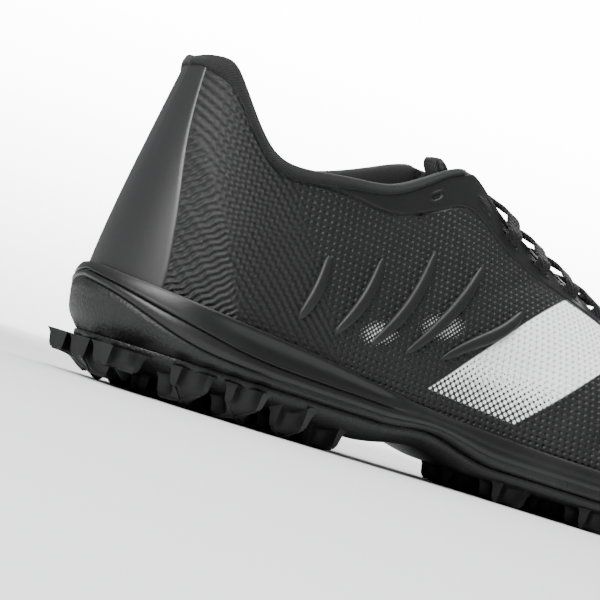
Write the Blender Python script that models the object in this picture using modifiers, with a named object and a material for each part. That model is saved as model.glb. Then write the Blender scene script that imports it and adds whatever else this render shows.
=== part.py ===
# A right turf shoe: lugged outsole, midsole, hollow upper and what is fixed to it.
# X runs from heel to toe, Y from the outer side (-) to the inner side (+), Z up. Lengths are in metres.
import math
from collections import namedtuple

import bmesh
import bpy
import numpy as np
from mathutils import Vector

# Lengths and widths of the sole
LENGTH = 0.288
HEEL_WIDTH = 0.073
WAIST_WIDTH = 0.062
BALL_WIDTH = 0.101
HEEL_TUCK = 0.0045
TOE_TUCK = 0.004

# Heights of the sole
LUG_HEIGHT = 0.0058
OUTSOLE_THICKNESS = 0.0022
HEEL_STACK = 0.0215
BALL_STACK = 0.0132
HEEL_LIP = 0.012
TOE_SPRING = 0.013
SPRING_START = 0.218
ARCH_RISE = 0.003
ARCH_START = 0.090
ARCH_END = 0.139
EDGE_ROLL = 0.0052
ROLL_WIDTH = 0.012

# The side wall of the midsole
LIP_THICKNESS = 0.0016
LIP_SETBACK = 0.0009
CHANNEL_DEPTH = 0.0009
GROOVE_DEPTH = 0.0011
STEP_HEIGHT = 0.0006
BULGE = 0.0007
STRIP_END = 0.100
STRIP_FADE = 0.012

# The upper
WALL = 0.0020
TAB_HEIGHT = 0.1018
ANKLE_HEIGHT = 0.0774
INSTEP_HEIGHT = 0.0977
VAMP_HEIGHT = 0.0670
COLLAR_WIDTH = 0.056
THROAT_WIDTH = 0.030
THROAT_SHIFT = 0.004
FIT = 0.0003
SOLE_GAP = 0.0004

# Lugs
LUG_REACH = 0.0083
LUG_WAIST = 0.0034
LUG_END = 0.0009
LUG_DRAFT = 0.0011
LUG_SINK = 0.0009
LUG_PITCH_X = 0.0185
LUG_PITCH_Y = 0.0152
LUG_SLANT = 0.004
FORE_LUG = (0.1435, -0.008)
FORE_START = 0.137
LUG_MARGIN = 0.0062

# Pieces in and on the upper
INSOLE_THICKNESS = 0.0035
TONGUE_THICKNESS = 0.0026
TONGUE_CROWN = 0.0024
TONGUE_GAP = 0.0008
TONGUE_RUN = 0.012
TONGUE_FALL = 0.0095
TONGUE_TOP = 0.017
TONGUE_STATION = 21
COUNTER_THICKNESS = 0.0010
BINDING_THICKNESS = 0.0010
BINDING_DEPTH = 0.0050
EYESTAY_THICKNESS = 0.0008
EYESTAY_DEPTH = 0.0125
RIB_WIDTH = 0.0042
RIB_HEIGHT = 0.0011
EYELET_INSET = 0.0068
LACE_WIDTH = 0.0062
LACE_THICKNESS = 0.0012
LACE_CROWN = 0.0032
LACE_REST = 0.0030
LACE_LEAN = (1.0, 0.0, -0.38)
LACE_TUCK = 0.82
BAR_AHEAD = 0.035
INSOLE_SLOPE = 0.30

STATIONS = 32
RIB_STEPS = 9
SIDE_RIB_STEPS = 6

# The station at which the collar turns into the throat
CORNER_STATION = 14

WIDTHS = {"heel": HEEL_WIDTH, "waist": WAIST_WIDTH, "ball": BALL_WIDTH}
EDGE_WIDTHS = {"tab": COLLAR_WIDTH, "ankle": COLLAR_WIDTH, "instep": THROAT_WIDTH, "vamp": THROAT_WIDTH}
EDGE_HEIGHTS = {"tab": TAB_HEIGHT, "ankle": ANKLE_HEIGHT, "instep": INSTEP_HEIGHT, "vamp": VAMP_HEIGHT}

# Half widths of the sole, as shares of the width that each row follows. Rim is the widest level of
# the side wall, base the edge of the outsole.
SoleRow = namedtuple("SoleRow", "follows along rim_outer rim_inner base_outer base_inner")
SOLE_ROWS = [
    SoleRow("heel", 0.000, 0.000, 0.000, 0.000, 0.000),
    SoleRow("heel", 0.028, 0.300, 0.315, 0.250, 0.265),
    SoleRow("heel", 0.083, 0.466, 0.486, 0.425, 0.448),
    SoleRow("heel", 0.167, 0.507, 0.530, 0.479, 0.515),
    SoleRow("heel", 0.271, 0.493, 0.486, 0.466, 0.456),
    SoleRow("waist", 0.365, 0.556, 0.478, 0.500, 0.400),
    SoleRow("waist", 0.434, 0.548, 0.425, 0.484, 0.322),
    SoleRow("waist", 0.503, 0.597, 0.460, 0.565, 0.372),
    SoleRow("ball", 0.573, 0.431, 0.371, 0.421, 0.327),
    SoleRow("ball", 0.642, 0.480, 0.440, 0.465, 0.411),
    SoleRow("ball", 0.712, 0.505, 0.485, 0.485, 0.460),
    SoleRow("ball", 0.781, 0.495, 0.480, 0.475, 0.455),
    SoleRow("ball", 0.851, 0.450, 0.446, 0.430, 0.416),
    SoleRow("ball", 0.910, 0.361, 0.376, 0.340, 0.352),
    SoleRow("ball", 0.962, 0.228, 0.277, 0.210, 0.257),
    SoleRow("ball", 1.000, -0.060, 0.060, -0.060, 0.060),
]

# Stack is the share of the way from the ball's stack to the heel's, lip a share of the heel lip, and
# the two lines of the side wall are shares of the wall's height.
HeightRow = namedtuple("HeightRow", "along stack lip upper_line lower_line")
HEIGHT_ROWS = [
    HeightRow(0.000, 1.00, 1.00, 0.86, 0.740),
    HeightRow(0.024, 1.00, 0.87, 0.76, 0.600),
    HeightRow(0.049, 1.00, 0.80, 0.67, 0.440),
    HeightRow(0.094, 0.97, 0.71, 0.55, 0.250),
    HeightRow(0.139, 0.92, 0.65, 0.45, 0.200),
    HeightRow(0.229, 0.80, 0.56, 0.42, 0.180),
    HeightRow(0.300, 0.66, 0.47, 0.48, 0.200),
    HeightRow(0.365, 0.51, 0.41, 0.56, 0.230),
    HeightRow(0.434, 0.36, 0.42, 0.60, 0.260),
    HeightRow(0.521, 0.18, 0.46, 0.60, 0.280),
    HeightRow(0.600, 0.06, 0.50, 0.60, 0.300),
    HeightRow(0.694, 0.00, 0.52, 0.58, 0.300),
    HeightRow(0.800, 0.00, 0.53, 0.57, 0.300),
    HeightRow(0.900, 0.00, 0.53, 0.57, 0.300),
    HeightRow(1.000, 0.00, 0.54, 0.57, 0.300),
]

# One row for each rib of the upper, from the heel's middle to the toe's. The rib stands on the sole
# at along and ends at the opening's edge. Swell is a share of the heel width; rise and drop are
# shares of the rib's height, and reach is a share of its run across the foot.
RibRow = namedtuple("RibRow", "follows along edge_along edge_half edge_height swell rise reach drop")
OUTER_RIBS = [
    RibRow("tab", 0.000, 0.0427, 0.000, 0.990, -0.012, 0.33, 0.36, 0.33),
    RibRow("tab", 0.028, 0.0550, 0.205, 1.000, -0.012, 0.33, 0.36, 0.33),
    RibRow("tab", 0.052, 0.0677, 0.286, 0.980, -0.012, 0.33, 0.36, 0.33),
    RibRow("tab", 0.083, 0.0885, 0.375, 0.888, 0.004, 0.33, 0.46, 0.33),
    RibRow("ankle", 0.118, 0.1160, 0.452, 1.036, 0.020, 0.33, 0.55, 0.33),
    RibRow("ankle", 0.167, 0.1560, 0.492, 1.000, 0.020, 0.34, 0.50, 0.33),
    RibRow("ankle", 0.229, 0.2150, 0.498, 1.035, 0.020, 0.34, 0.50, 0.33),
    RibRow("ankle", 0.292, 0.2740, 0.452, 1.082, 0.020, 0.35, 0.52, 0.33),
    RibRow("instep", 0.347, 0.3300, 0.660, 0.945, 0.022, 0.36, 0.56, 0.33),
    RibRow("instep", 0.396, 0.3770, 0.527, 0.999, 0.024, 0.38, 0.60, 0.32),
    RibRow("instep", 0.451, 0.4270, 0.467, 0.937, 0.026, 0.39, 0.60, 0.30),
    RibRow("instep", 0.521, 0.4900, 0.450, 0.850, 0.028, 0.40, 0.60, 0.27),
    RibRow("vamp", 0.590, 0.5520, 0.433, 1.150, 0.030, 0.42, 0.58, 0.22),
    RibRow("vamp", 0.660, 0.6080, 0.400, 1.072, 0.030, 0.42, 0.56, 0.20),
    RibRow("vamp", 0.736, 0.6460, 0.283, 1.024, 0.028, 0.41, 0.54, 0.21),
    RibRow("vamp", 0.816, 0.6600, 0.160, 1.008, 0.026, 0.43, 0.54, 0.22),
    RibRow("vamp", 0.910, 0.6655, 0.055, 1.001, 0.026, 0.43, 0.55, 0.24),
    RibRow("vamp", 1.000, 0.6667, 0.000, 1.000, 0.024, 0.42, 0.56, 0.26),
]
INNER_RIBS = [
    RibRow("tab", 0.000, 0.0427, 0.000, 0.990, -0.012, 0.33, 0.36, 0.33),
    RibRow("tab", 0.028, 0.0550, 0.205, 1.000, -0.012, 0.33, 0.36, 0.33),
    RibRow("tab", 0.052, 0.0677, 0.286, 0.980, -0.012, 0.33, 0.36, 0.33),
    RibRow("tab", 0.083, 0.0885, 0.375, 0.895, 0.004, 0.33, 0.46, 0.33),
    RibRow("ankle", 0.118, 0.1160, 0.452, 1.065, 0.020, 0.33, 0.55, 0.33),
    RibRow("ankle", 0.167, 0.1560, 0.492, 1.035, 0.020, 0.34, 0.50, 0.33),
    RibRow("ankle", 0.229, 0.2150, 0.498, 1.065, 0.024, 0.36, 0.50, 0.33),
    RibRow("ankle", 0.292, 0.2740, 0.452, 1.105, 0.036, 0.38, 0.52, 0.33),
    RibRow("instep", 0.347, 0.3300, 0.660, 0.950, 0.048, 0.40, 0.56, 0.32),
    RibRow("instep", 0.396, 0.3770, 0.527, 0.999, 0.056, 0.42, 0.60, 0.30),
    RibRow("instep", 0.451, 0.4270, 0.467, 0.937, 0.058, 0.44, 0.62, 0.28),
    RibRow("instep", 0.521, 0.4900, 0.450, 0.850, 0.052, 0.46, 0.64, 0.24),
    RibRow("vamp", 0.590, 0.5520, 0.433, 1.150, 0.044, 0.47, 0.64, 0.20),
    RibRow("vamp", 0.660, 0.6080, 0.400, 1.072, 0.036, 0.47, 0.62, 0.18),
    RibRow("vamp", 0.736, 0.6460, 0.283, 1.024, 0.030, 0.45, 0.58, 0.19),
    RibRow("vamp", 0.816, 0.6600, 0.160, 1.008, 0.026, 0.45, 0.56, 0.20),
    RibRow("vamp", 0.910, 0.6655, 0.055, 1.001, 0.026, 0.44, 0.56, 0.23),
    RibRow("vamp", 1.000, 0.6667, 0.000, 1.000, 0.024, 0.42, 0.56, 0.26),
]

# Middles of the heel's lugs: place along the length, then half places across the heel width.
HEEL_LUGS = [
    (0.0335, (-0.256, -0.030, 0.200)),
    (0.1010, (-0.352, -0.110, 0.118, 0.355)),
    (0.1600, (-0.400, -0.175, 0.052, 0.268)),
    (0.2240, (-0.352, -0.125, 0.135, 0.370)),
    (0.2800, (-0.268, 0.015, 0.262)),
]
EDGE_LUG = (0.1860, 0.425, 0.72)
LUG_ARMS = ((35.0, 0.86), (138.0, 0.82), (220.0, 1.00), (292.0, 0.96))

COUNTER_EDGE = ((0.10, 0.132), (0.40, 0.118), (0.70, 0.092), (1.00, 0.072))
# The tongue's tip: run towards the heel, width and rise, the first and last as shares of the tip's length
TONGUE_TIP = ((1.00, 0.40, 0.56), (0.65, 0.42, 0.17), (0.07, 0.44, 0.0))
EYELET_PLACES = (0.330, 0.4045, 0.452, 0.502, 0.552, 0.602)

# Ribs that fan out on each side: where each starts above the sole and where it ends below the opening.
# Along is a share of the length, share a share of the upper's own rib, and bow bends the line forward.
SideRib = namedtuple("SideRib", "low_along low_share high_along high_share bow")
SIDE_RIBS = [
    SideRib(0.190, 0.25, 0.212, 0.60, 0.004),
    SideRib(0.238, 0.24, 0.282, 0.65, 0.006),
    SideRib(0.286, 0.24, 0.352, 0.67, 0.008),
    SideRib(0.334, 0.24, 0.422, 0.65, 0.010),
    SideRib(0.382, 0.24, 0.488, 0.60, 0.012),
]

COLOURS = {
    "outsole": ((0.012, 0.012, 0.013), 0.48),
    "midsole": ((0.016, 0.016, 0.017), 0.55),
    "upper": ((0.014, 0.014, 0.015), 0.72),
    "counter": ((0.030, 0.030, 0.031), 0.38),
    "binding": ((0.012, 0.012, 0.013), 0.80),
    "lining": ((0.018, 0.018, 0.019), 0.90),
    "insole": ((0.022, 0.022, 0.024), 0.90),
    "eyestay": ((0.020, 0.020, 0.021), 0.50),
    "lace": ((0.010, 0.010, 0.011), 0.85),
}


def spline(knots, values, at):
    """A natural cubic through the knots, read at each value of at."""
    knots = np.asarray(knots, float)
    values = np.asarray(values, float)
    gap = np.diff(knots)
    slope = np.diff(values) / gap
    count = len(knots)
    matrix = np.eye(count)
    bend = np.zeros(count)
    for i in range(1, count - 1):
        matrix[i, i - 1:i + 2] = gap[i - 1], 2 * (gap[i - 1] + gap[i]), gap[i]
        bend[i] = 6 * (slope[i] - slope[i - 1])
    bend = np.linalg.solve(matrix, bend)
    at = np.clip(np.asarray(at, float), knots[0], knots[-1])
    i = np.clip(np.searchsorted(knots, at, side="right") - 1, 0, count - 2)
    right = (at - knots[i]) / gap[i]
    left = 1 - right
    curve = (left ** 3 - left) * bend[i] + (right ** 3 - right) * bend[i + 1]
    return left * values[i] + right * values[i + 1] + curve * gap[i] ** 2 / 6


def turn_at(along):
    """The angle that spaces the stations: 0 at the heel's middle, pi at the toe's."""
    return np.arccos(1 - 2 * np.asarray(along, float))


def along_at(turn):
    return (1 - np.cos(turn)) / 2


def column(rows, name, turn, sizes=None):
    """A table's column at the given angles, times the size that each row follows."""
    scale = [sizes[row.follows] if sizes else 1.0 for row in rows]
    values = [getattr(row, name) * size for row, size in zip(rows, scale)]
    return spline(turn_at([row.along for row in rows]), values, turn)


def smooth_step(share):
    share = np.clip(share, 0, 1)
    return share * share * (3 - 2 * share)


def fold(place):
    """A place around the shoe, 0 to 2 from the heel over the outer side, as an angle and a side."""
    place = np.mod(np.asarray(place, float), 2)
    outer = place <= 1
    return np.where(outer, place, 2 - place) * math.pi, outer


def plan(place, level):
    """The sole's outline from above at the rim or base level."""
    turn, outer = fold(place)
    half_outer = column(SOLE_ROWS, level + "_outer", turn, WIDTHS)
    half_inner = column(SOLE_ROWS, level + "_inner", turn, WIDTHS)
    x = along_at(turn) * LENGTH
    if level == "base":
        x = HEEL_TUCK + along_at(turn) * (LENGTH - HEEL_TUCK - TOE_TUCK)
    return np.stack([x, np.where(outer, -half_outer, half_inner)], -1)


def plan_normal(place, level):
    """The outward direction of that outline."""
    step = 0.002
    tangent = plan(place + step, level) - plan(place - step, level)
    normal = np.stack([tangent[..., 1], -tangent[..., 0]], -1)
    return normal / np.linalg.norm(normal, axis=-1, keepdims=True)


def spring(x):
    run = np.clip((x - SPRING_START) / (LENGTH - SPRING_START), 0, 1)
    return TOE_SPRING * run ** 1.8


def arch(x):
    run = np.clip((x - ARCH_START) / (ARCH_END - ARCH_START), 0, 1)
    return ARCH_RISE * np.sin(math.pi * run) ** 2


def underside(x):
    return LUG_HEIGHT + spring(x) + arch(x)


def roll(distance, x):
    """How far the sole's edge curls up, at a distance in from the base outline."""
    share = np.clip(1 - distance / ROLL_WIDTH, 0, 1)
    amount = 1 - 0.62 * smooth_step((x - 0.30 * LENGTH) / (0.2 * LENGTH))
    return EDGE_ROLL * amount * share ** 1.9


def bed(x):
    share = column(HEIGHT_ROWS, "stack", turn_at(np.clip(x / LENGTH, 0, 1)))
    return BALL_STACK + (HEEL_STACK - BALL_STACK) * share + spring(x)


def lip_top(x):
    return bed(x) + HEEL_LIP * column(HEIGHT_ROWS, "lip", turn_at(np.clip(x / LENGTH, 0, 1)))


def ring_places(count=STATIONS):
    """Places of one closed ring of points: heel, outer side, toe, inner side."""
    return np.arange(2 * count) / count


def ring(places, level, out, height):
    """Points around the sole, moved out from an outline, at a height that depends on x."""
    flat = plan(places, level) + plan_normal(places, level) * np.reshape(out, (-1, 1))
    return np.column_stack([flat, height])


def mesh_object(name, verts, faces, colour, smooth=True):
    mesh = bpy.data.meshes.new(name)
    mesh.from_pydata([tuple(v) for v in verts], [], faces)
    mesh.materials.append(material(colour))
    body = bmesh.new()
    body.from_mesh(mesh)
    bmesh.ops.recalc_face_normals(body, faces=body.faces)
    body.to_mesh(mesh)
    body.free()
    if smooth:
        mesh.shade_smooth()
        mesh.set_sharp_from_angle(angle=math.radians(35))
    thing = bpy.data.objects.new(name, mesh)
    shoe.objects.link(thing)
    thing.parent = frame
    return thing


def material(name):
    found = bpy.data.materials.get(name)
    if found:
        return found
    colour, rough = COLOURS[name]
    made = bpy.data.materials.new(name)
    made.use_nodes = True
    shader = made.node_tree.nodes["Principled BSDF"]
    shader.inputs["Base Color"].default_value = (*colour, 1)
    shader.inputs["Roughness"].default_value = rough
    shader.inputs["Metallic"].default_value = 0.0
    return made


def span_faces(start, count, up):
    """Faces across a closed ring: each outer point joins the inner point of its station."""
    faces = []
    for i in range(count):
        outer, ahead = start + i, start + i + 1
        inner, inner_ahead = start + (2 * count - i) % (2 * count), start + 2 * count - i - 1
        loop = [outer, ahead, inner_ahead, inner]
        loop = [v for k, v in enumerate(loop) if v not in loop[:k]]
        faces.append(loop if up else loop[::-1])
    return faces


def stack_of_rings(name, rings, colour):
    """A closed solid through rings of equal size, with both end rings spanned."""
    size = len(rings[0])
    verts = np.concatenate(rings)
    faces = []
    for k in range(len(rings) - 1):
        for i in range(size):
            j = (i + 1) % size
            a, b = k * size, (k + 1) * size
            faces.append([a + i, b + i, b + j, a + j])
    faces += span_faces(0, size // 2, True)
    faces += span_faces((len(rings) - 1) * size, size // 2, False)
    return mesh_object(name, verts, faces, colour)


def sheet(name, grid, thickness, colour, closed=False):
    """A thin shell: a grid of points on its outer face, thickened inward by Solidify."""
    rows, cols = grid.shape[:2]
    faces = []
    for r in range(rows - 1):
        for c in range(cols if closed else cols - 1):
            d = (c + 1) % cols
            faces.append([r * cols + c, r * cols + d, (r + 1) * cols + d, (r + 1) * cols + c])
    mesh = bpy.data.meshes.new(name)
    mesh.from_pydata([tuple(v) for v in grid.reshape(-1, 3)], [], faces)
    mesh.materials.append(material(colour))
    mesh.shade_smooth()
    thing = bpy.data.objects.new(name, mesh)
    shoe.objects.link(thing)
    thing.parent = frame
    shell = thing.modifiers.new("Wall", "SOLIDIFY")
    shell.thickness = thickness
    shell.offset = -1
    return thing


def rib_ends(place):
    """Where the upper's ribs stand on the sole and where they end at the opening."""
    turn, outer = fold(place)

    def both(name, sizes=None):
        left = column(OUTER_RIBS, name, turn, sizes)
        right = column(INNER_RIBS, name, turn, sizes)
        return np.where(outer, left, right)

    swell = both("swell") * HEEL_WIDTH
    rise = both("rise")
    edge_along = both("edge_along")
    half = both("edge_half", EDGE_WIDTHS)
    shift = THROAT_SHIFT * np.clip((edge_along - 0.38) / 0.286, 0, 1)
    y = np.where(outer, -half, half) + shift
    edge = np.stack([edge_along * LENGTH, y, both("edge_height", EDGE_HEIGHTS)], -1)
    rim = plan(place, "rim")
    floor = bed(rim[..., 0])
    lean = (lip_top(rim[..., 0]) - floor) * swell / (rise * (edge[..., 2] - floor))
    inset = LIP_SETBACK + LIP_THICKNESS + FIT + np.clip(lean, 0, None)
    flat = rim - plan_normal(place, "rim") * inset[..., None]
    foot = np.concatenate([flat, (bed(flat[..., 0]) + FIT)[..., None]], -1)
    return foot, edge, swell, rise, both("reach"), both("drop")


def skin(place, share):
    """A point of the upper's outer face: share runs from 0 on the sole to 1 at the opening."""
    place, share = np.broadcast_arrays(np.asarray(place, float), np.asarray(share, float))
    foot, edge, swell, rise, reach, drop = rib_ends(place)
    run = foot - edge
    run[..., 2] = 0
    length = np.linalg.norm(run, axis=-1, keepdims=True)
    out = run / length
    height = (edge - foot)[..., 2:]
    up = np.array([0, 0, 1.0])
    low = foot + up * rise[..., None] * height + out * swell[..., None]
    high = edge + out * reach[..., None] * length - up * drop[..., None] * height
    t = share[..., None]
    return ((1 - t) ** 3 * foot + 3 * (1 - t) ** 2 * t * low
            + 3 * (1 - t) * t ** 2 * high + t ** 3 * edge)


def skin_normal(place, share):
    step = 0.004
    place, share = np.broadcast_arrays(np.asarray(place, float), np.asarray(share, float))
    low, high = np.clip(share - step, 0, 1), np.clip(share + step, 0, 1)
    around = skin(place + step, share) - skin(place - step, share)
    upward = skin(place, high) - skin(place, low)
    normal = np.cross(around, upward)
    return normal / np.linalg.norm(normal, axis=-1, keepdims=True)


def off_skin(place, share, distance):
    return skin(place, share) + skin_normal(place, share) * np.asarray(distance)[..., None]


def stations(first, last):
    """The places of the upper's own ribs, so that a piece laid on it has the same facets."""
    return np.arange(first, last + 1) / STATIONS


def share_at_height(place, height):
    """The share of each rib where the upper reaches a height."""
    steps = np.linspace(0, 1, 60)
    place, height = np.broadcast_arrays(np.asarray(place, float), np.asarray(height, float))
    found = [np.interp(h, skin(p, steps)[:, 2], steps) for p, h in zip(place.ravel(), height.ravel())]
    return np.array(found).reshape(place.shape)


def share_below_edge(place, depth):
    """The share of each rib at a distance below the opening's edge, along the rib."""
    steps = np.linspace(0, 1, 80)
    place, depth = np.broadcast_arrays(np.asarray(place, float), np.asarray(depth, float))
    found = []
    for p, down in zip(place.ravel(), depth.ravel()):
        curve = skin(p, steps)
        lengths = np.concatenate([[0], np.cumsum(np.linalg.norm(np.diff(curve, axis=0), axis=1))])
        found.append(np.interp(lengths[-1] - down, lengths, steps))
    return np.array(found).reshape(place.shape)


def make_midsole():
    places = ring_places()
    rim = plan(places, "rim")
    base = plan(places, "base")
    x = rim[:, 0]
    top = lip_top(x)
    floor = bed((rim - plan_normal(places, "rim") * (LIP_SETBACK + LIP_THICKNESS))[:, 0])
    low = underside(x) + roll(np.zeros_like(x), x) + OUTSOLE_THICKNESS + SOLE_GAP
    turn = turn_at(np.clip(x / LENGTH, 0, 1))
    wall = top - low
    upper_line = low + wall * column(HEIGHT_ROWS, "upper_line", turn)
    lower_line = low + wall * column(HEIGHT_ROWS, "lower_line", turn)
    strip = 1 - smooth_step((x - STRIP_END + STRIP_FADE) / STRIP_FADE)
    ones = np.ones_like(x)
    lip = -(LIP_SETBACK + LIP_THICKNESS)
    rings = [
        ring(places, "rim", lip * ones, floor),
        ring(places, "rim", lip * ones, top - STEP_HEIGHT / 2),
        ring(places, "rim", -LIP_SETBACK * ones, top),
        ring(places, "rim", -LIP_SETBACK * 0.6 - CHANNEL_DEPTH * strip, 0.5 * (top + upper_line)),
        ring(places, "rim", 0.0 * ones, upper_line + STEP_HEIGHT),
        ring(places, "rim", -GROOVE_DEPTH * strip, upper_line),
        ring(places, "rim", 0.0 * ones, upper_line - STEP_HEIGHT),
        ring(places, "rim", 0.0 * ones, lower_line + STEP_HEIGHT),
        ring(places, "rim", -GROOVE_DEPTH * 0.8 * strip, lower_line),
        ring(places, "rim", BULGE * 0.6 * ones, lower_line - STEP_HEIGHT),
    ]
    for blend, height in ((0.30, 0.52), (0.72, 0.18), (1.0, 0.0)):
        flat = rim * (1 - blend) + base * blend
        flat = flat + plan_normal(places, "rim") * BULGE * math.sin(math.pi * blend)
        rings.append(np.column_stack([flat, low + (lower_line - low) * height]))
    for inset in (0.25, 0.58, 1.0):
        distance = inset * ROLL_WIDTH
        flat = base - plan_normal(places, "base") * distance
        z = underside(flat[:, 0]) + roll(distance, flat[:, 0]) + OUTSOLE_THICKNESS + SOLE_GAP
        rings.append(np.column_stack([flat, z]))
    return stack_of_rings("midsole", rings, "midsole")


def sole_skin_ring(places, distance, lift):
    flat = plan(places, "base") - plan_normal(places, "base") * distance
    z = underside(flat[:, 0]) + roll(distance, flat[:, 0]) + lift
    return np.column_stack([flat, z])


def inside_distance(x, y):
    """Distance from a point inside the outsole's outline to that outline."""
    border = plan(np.linspace(0, 2, 400), "base")
    return float(np.min(np.hypot(border[:, 0] - x, border[:, 1] - y)))


def is_inside(x, y):
    turn = turn_at(np.clip((x - HEEL_TUCK) / (LENGTH - HEEL_TUCK - TOE_TUCK), 0, 1))
    outer = -column(SOLE_ROWS, "base_outer", turn, WIDTHS)
    inner = column(SOLE_ROWS, "base_inner", turn, WIDTHS)
    return HEEL_TUCK < x < LENGTH - TOE_TUCK and outer < y < inner


def lug_middles():
    """Middles and sizes of all lugs, in rows at the heel and a staggered field at the forefoot."""
    found = [(along * LENGTH, across * HEEL_WIDTH, 1.0) for along, row in HEEL_LUGS for across in row]
    found.append((EDGE_LUG[0] * LENGTH, EDGE_LUG[1] * HEEL_WIDTH, EDGE_LUG[2]))
    for j in range(-4, 4):
        for i in range(-4, 11):
            x = FORE_LUG[0] + i * LUG_PITCH_X + j * LUG_PITCH_X / 2
            y = FORE_LUG[1] + i * LUG_SLANT - j * LUG_PITCH_Y
            if x > FORE_START and is_inside(x, y) and inside_distance(x, y) > LUG_MARGIN:
                found.append((x, y, 1.0))
    return found


def lug_outline(x, y, size, grow):
    """A four-armed star with concave sides, as points in plan."""
    points = []
    for k, (angle, reach) in enumerate(LUG_ARMS):
        following = LUG_ARMS[(k + 1) % len(LUG_ARMS)][0]
        a = math.radians(angle)
        arm = Vector((math.cos(a), math.sin(a)))
        across = Vector((-arm.y, arm.x))
        end = Vector((x, y)) + arm * (LUG_REACH * reach * size + grow)
        half = LUG_END * size + grow * 0.7
        points += [end - across * half, end + across * half]
        middle = math.radians(angle + ((following - angle) % 360) / 2)
        waist = LUG_WAIST * size + grow
        points.append(Vector((x + math.cos(middle) * waist, y + math.sin(middle) * waist)))
    return points


def make_lug(x, y, size):
    """One lug, from just inside the outsole's plate down to its tip."""
    body = bmesh.new()
    levels = []
    for grow, lift in ((LUG_DRAFT, LUG_HEIGHT + LUG_SINK), (0.0, 0.0)):
        loop = []
        for point in lug_outline(x, y, size, grow):
            distance = inside_distance(point.x, point.y) if is_inside(point.x, point.y) else 0.0
            z = float(spring(point.x) + roll(distance, point.x)) + lift
            loop.append(body.verts.new((point.x, point.y, z)))
        levels.append(loop)
    top, tip = levels
    count = len(top)
    for i in range(count):
        j = (i + 1) % count
        body.faces.new((top[i], top[j], tip[j], tip[i]))
    heart_z = sum(v.co.z for v in tip) / count
    for loop, z in ((top, heart_z + LUG_HEIGHT + LUG_SINK), (tip, heart_z)):
        heart = body.verts.new((x, y, z if loop is top else float(spring(x))))
        for i in range(count):
            body.faces.new((loop[i], loop[(i + 1) % count], heart))
    bmesh.ops.recalc_face_normals(body, faces=body.faces)
    return body


def make_outsole():
    places = ring_places()
    shares = (1.0, 0.58, 0.25, 0.0)
    rings = [sole_skin_ring(places, share * ROLL_WIDTH, OUTSOLE_THICKNESS) for share in shares]
    rings += [sole_skin_ring(places, share * ROLL_WIDTH, 0.0) for share in shares[::-1]]
    plate = stack_of_rings("outsole", rings, "outsole")
    studs = bmesh.new()
    for x, y, size in lug_middles():
        lug = make_lug(x, y, size)
        piece = bpy.data.meshes.new("lug")
        lug.to_mesh(piece)
        lug.free()
        studs.from_mesh(piece)
        bpy.data.meshes.remove(piece)
    mesh = bpy.data.meshes.new("lugs")
    studs.to_mesh(mesh)
    studs.free()
    cutter = bpy.data.objects.new("lugs", mesh)
    cutters.objects.link(cutter)
    cutter.parent = frame
    cutter.hide_render = True
    cutter.display_type = "WIRE"
    union = plate.modifiers.new("Lugs", "BOOLEAN")
    union.operation = "UNION"
    union.solver = "EXACT"
    union.use_self = True
    union.object = cutter
    return plate


def make_insole():
    places = ring_places()
    inset = LIP_SETBACK + LIP_THICKNESS + WALL + 4 * FIT
    rings = []
    for lift, slope in ((INSOLE_THICKNESS, INSOLE_SLOPE * INSOLE_THICKNESS), (0.0, 0.0)):
        flat = plan(places, "rim") - plan_normal(places, "rim") * (inset + slope)
        rings.append(np.column_stack([flat, bed(flat[:, 0]) + FIT + lift]))
    return stack_of_rings("insole", rings, "insole")


def upper_shares():
    """The levels of the upper's own points, from the sole to the opening."""
    return np.linspace(0, 1, RIB_STEPS + 1) ** 0.92


def make_upper():
    grid = np.array([skin(ring_places(), share) for share in upper_shares()])
    return sheet("upper", grid, WALL, "upper", closed=True)


def make_counter():
    """The heel counter: a smooth overlay around the back, narrower towards the collar."""
    rows = []
    levels, widths = zip(*COUNTER_EDGE)
    across = np.linspace(-1, 1, 11)
    for share in np.linspace(0, 1, 7):
        half = spline(levels, widths, share)
        places = across * half
        bottom = share_at_height(places, lip_top(plan(places, "rim")[:, 0]) + 3 * FIT)
        top = share_below_edge(places, BINDING_DEPTH + 2 * FIT)
        shares = bottom + (top - bottom) * share
        rows.append(off_skin(places, shares, np.full(len(places), FIT + COUNTER_THICKNESS)))
    return sheet("heel_counter", np.array(rows), COUNTER_THICKNESS, "counter")


def make_binding():
    """The collar binding: folded over the collar's edge from one throat corner to the other."""
    places = stations(-CORNER_STATION, CORNER_STATION)
    outside = FIT + BINDING_THICKNESS
    inside = -(WALL + 2 * FIT)
    low = share_below_edge(places, BINDING_DEPTH)
    lift = np.array([0, 0, 1.0])
    crest, base = 2 * FIT + BINDING_THICKNESS, 2 * FIT

    def at(share, distance, rise=0.0):
        return off_skin(places, share, np.full(len(places), distance)) + lift * rise

    top = np.ones_like(places)
    profile = [
        at(low, outside), at(top, outside, base), at(top, -WALL / 2, crest),
        at(top, inside - BINDING_THICKNESS, base), at(low, inside - BINDING_THICKNESS),
        at(low, inside), at(top, inside, base), at(top, FIT, base), at(low, FIT),
    ]
    size = len(profile)
    verts = np.stack(profile, 1).reshape(-1, 3)
    faces = []
    for i in range(len(places) - 1):
        for k in range(size):
            a, b = i * size, (i + 1) * size
            m = (k + 1) % size
            faces.append([a + k, a + m, b + m, b + k])
    end = (len(places) - 1) * size
    for start in (0, end):
        for quad in ((0, 1, 7, 8), (3, 4, 5, 6)):
            faces.append([start + q for q in quad])
        faces += [[start + q for q in tri] for tri in ((1, 2, 7), (2, 6, 7), (2, 3, 6))]
    return mesh_object("collar_binding", verts, faces, "binding")


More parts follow.
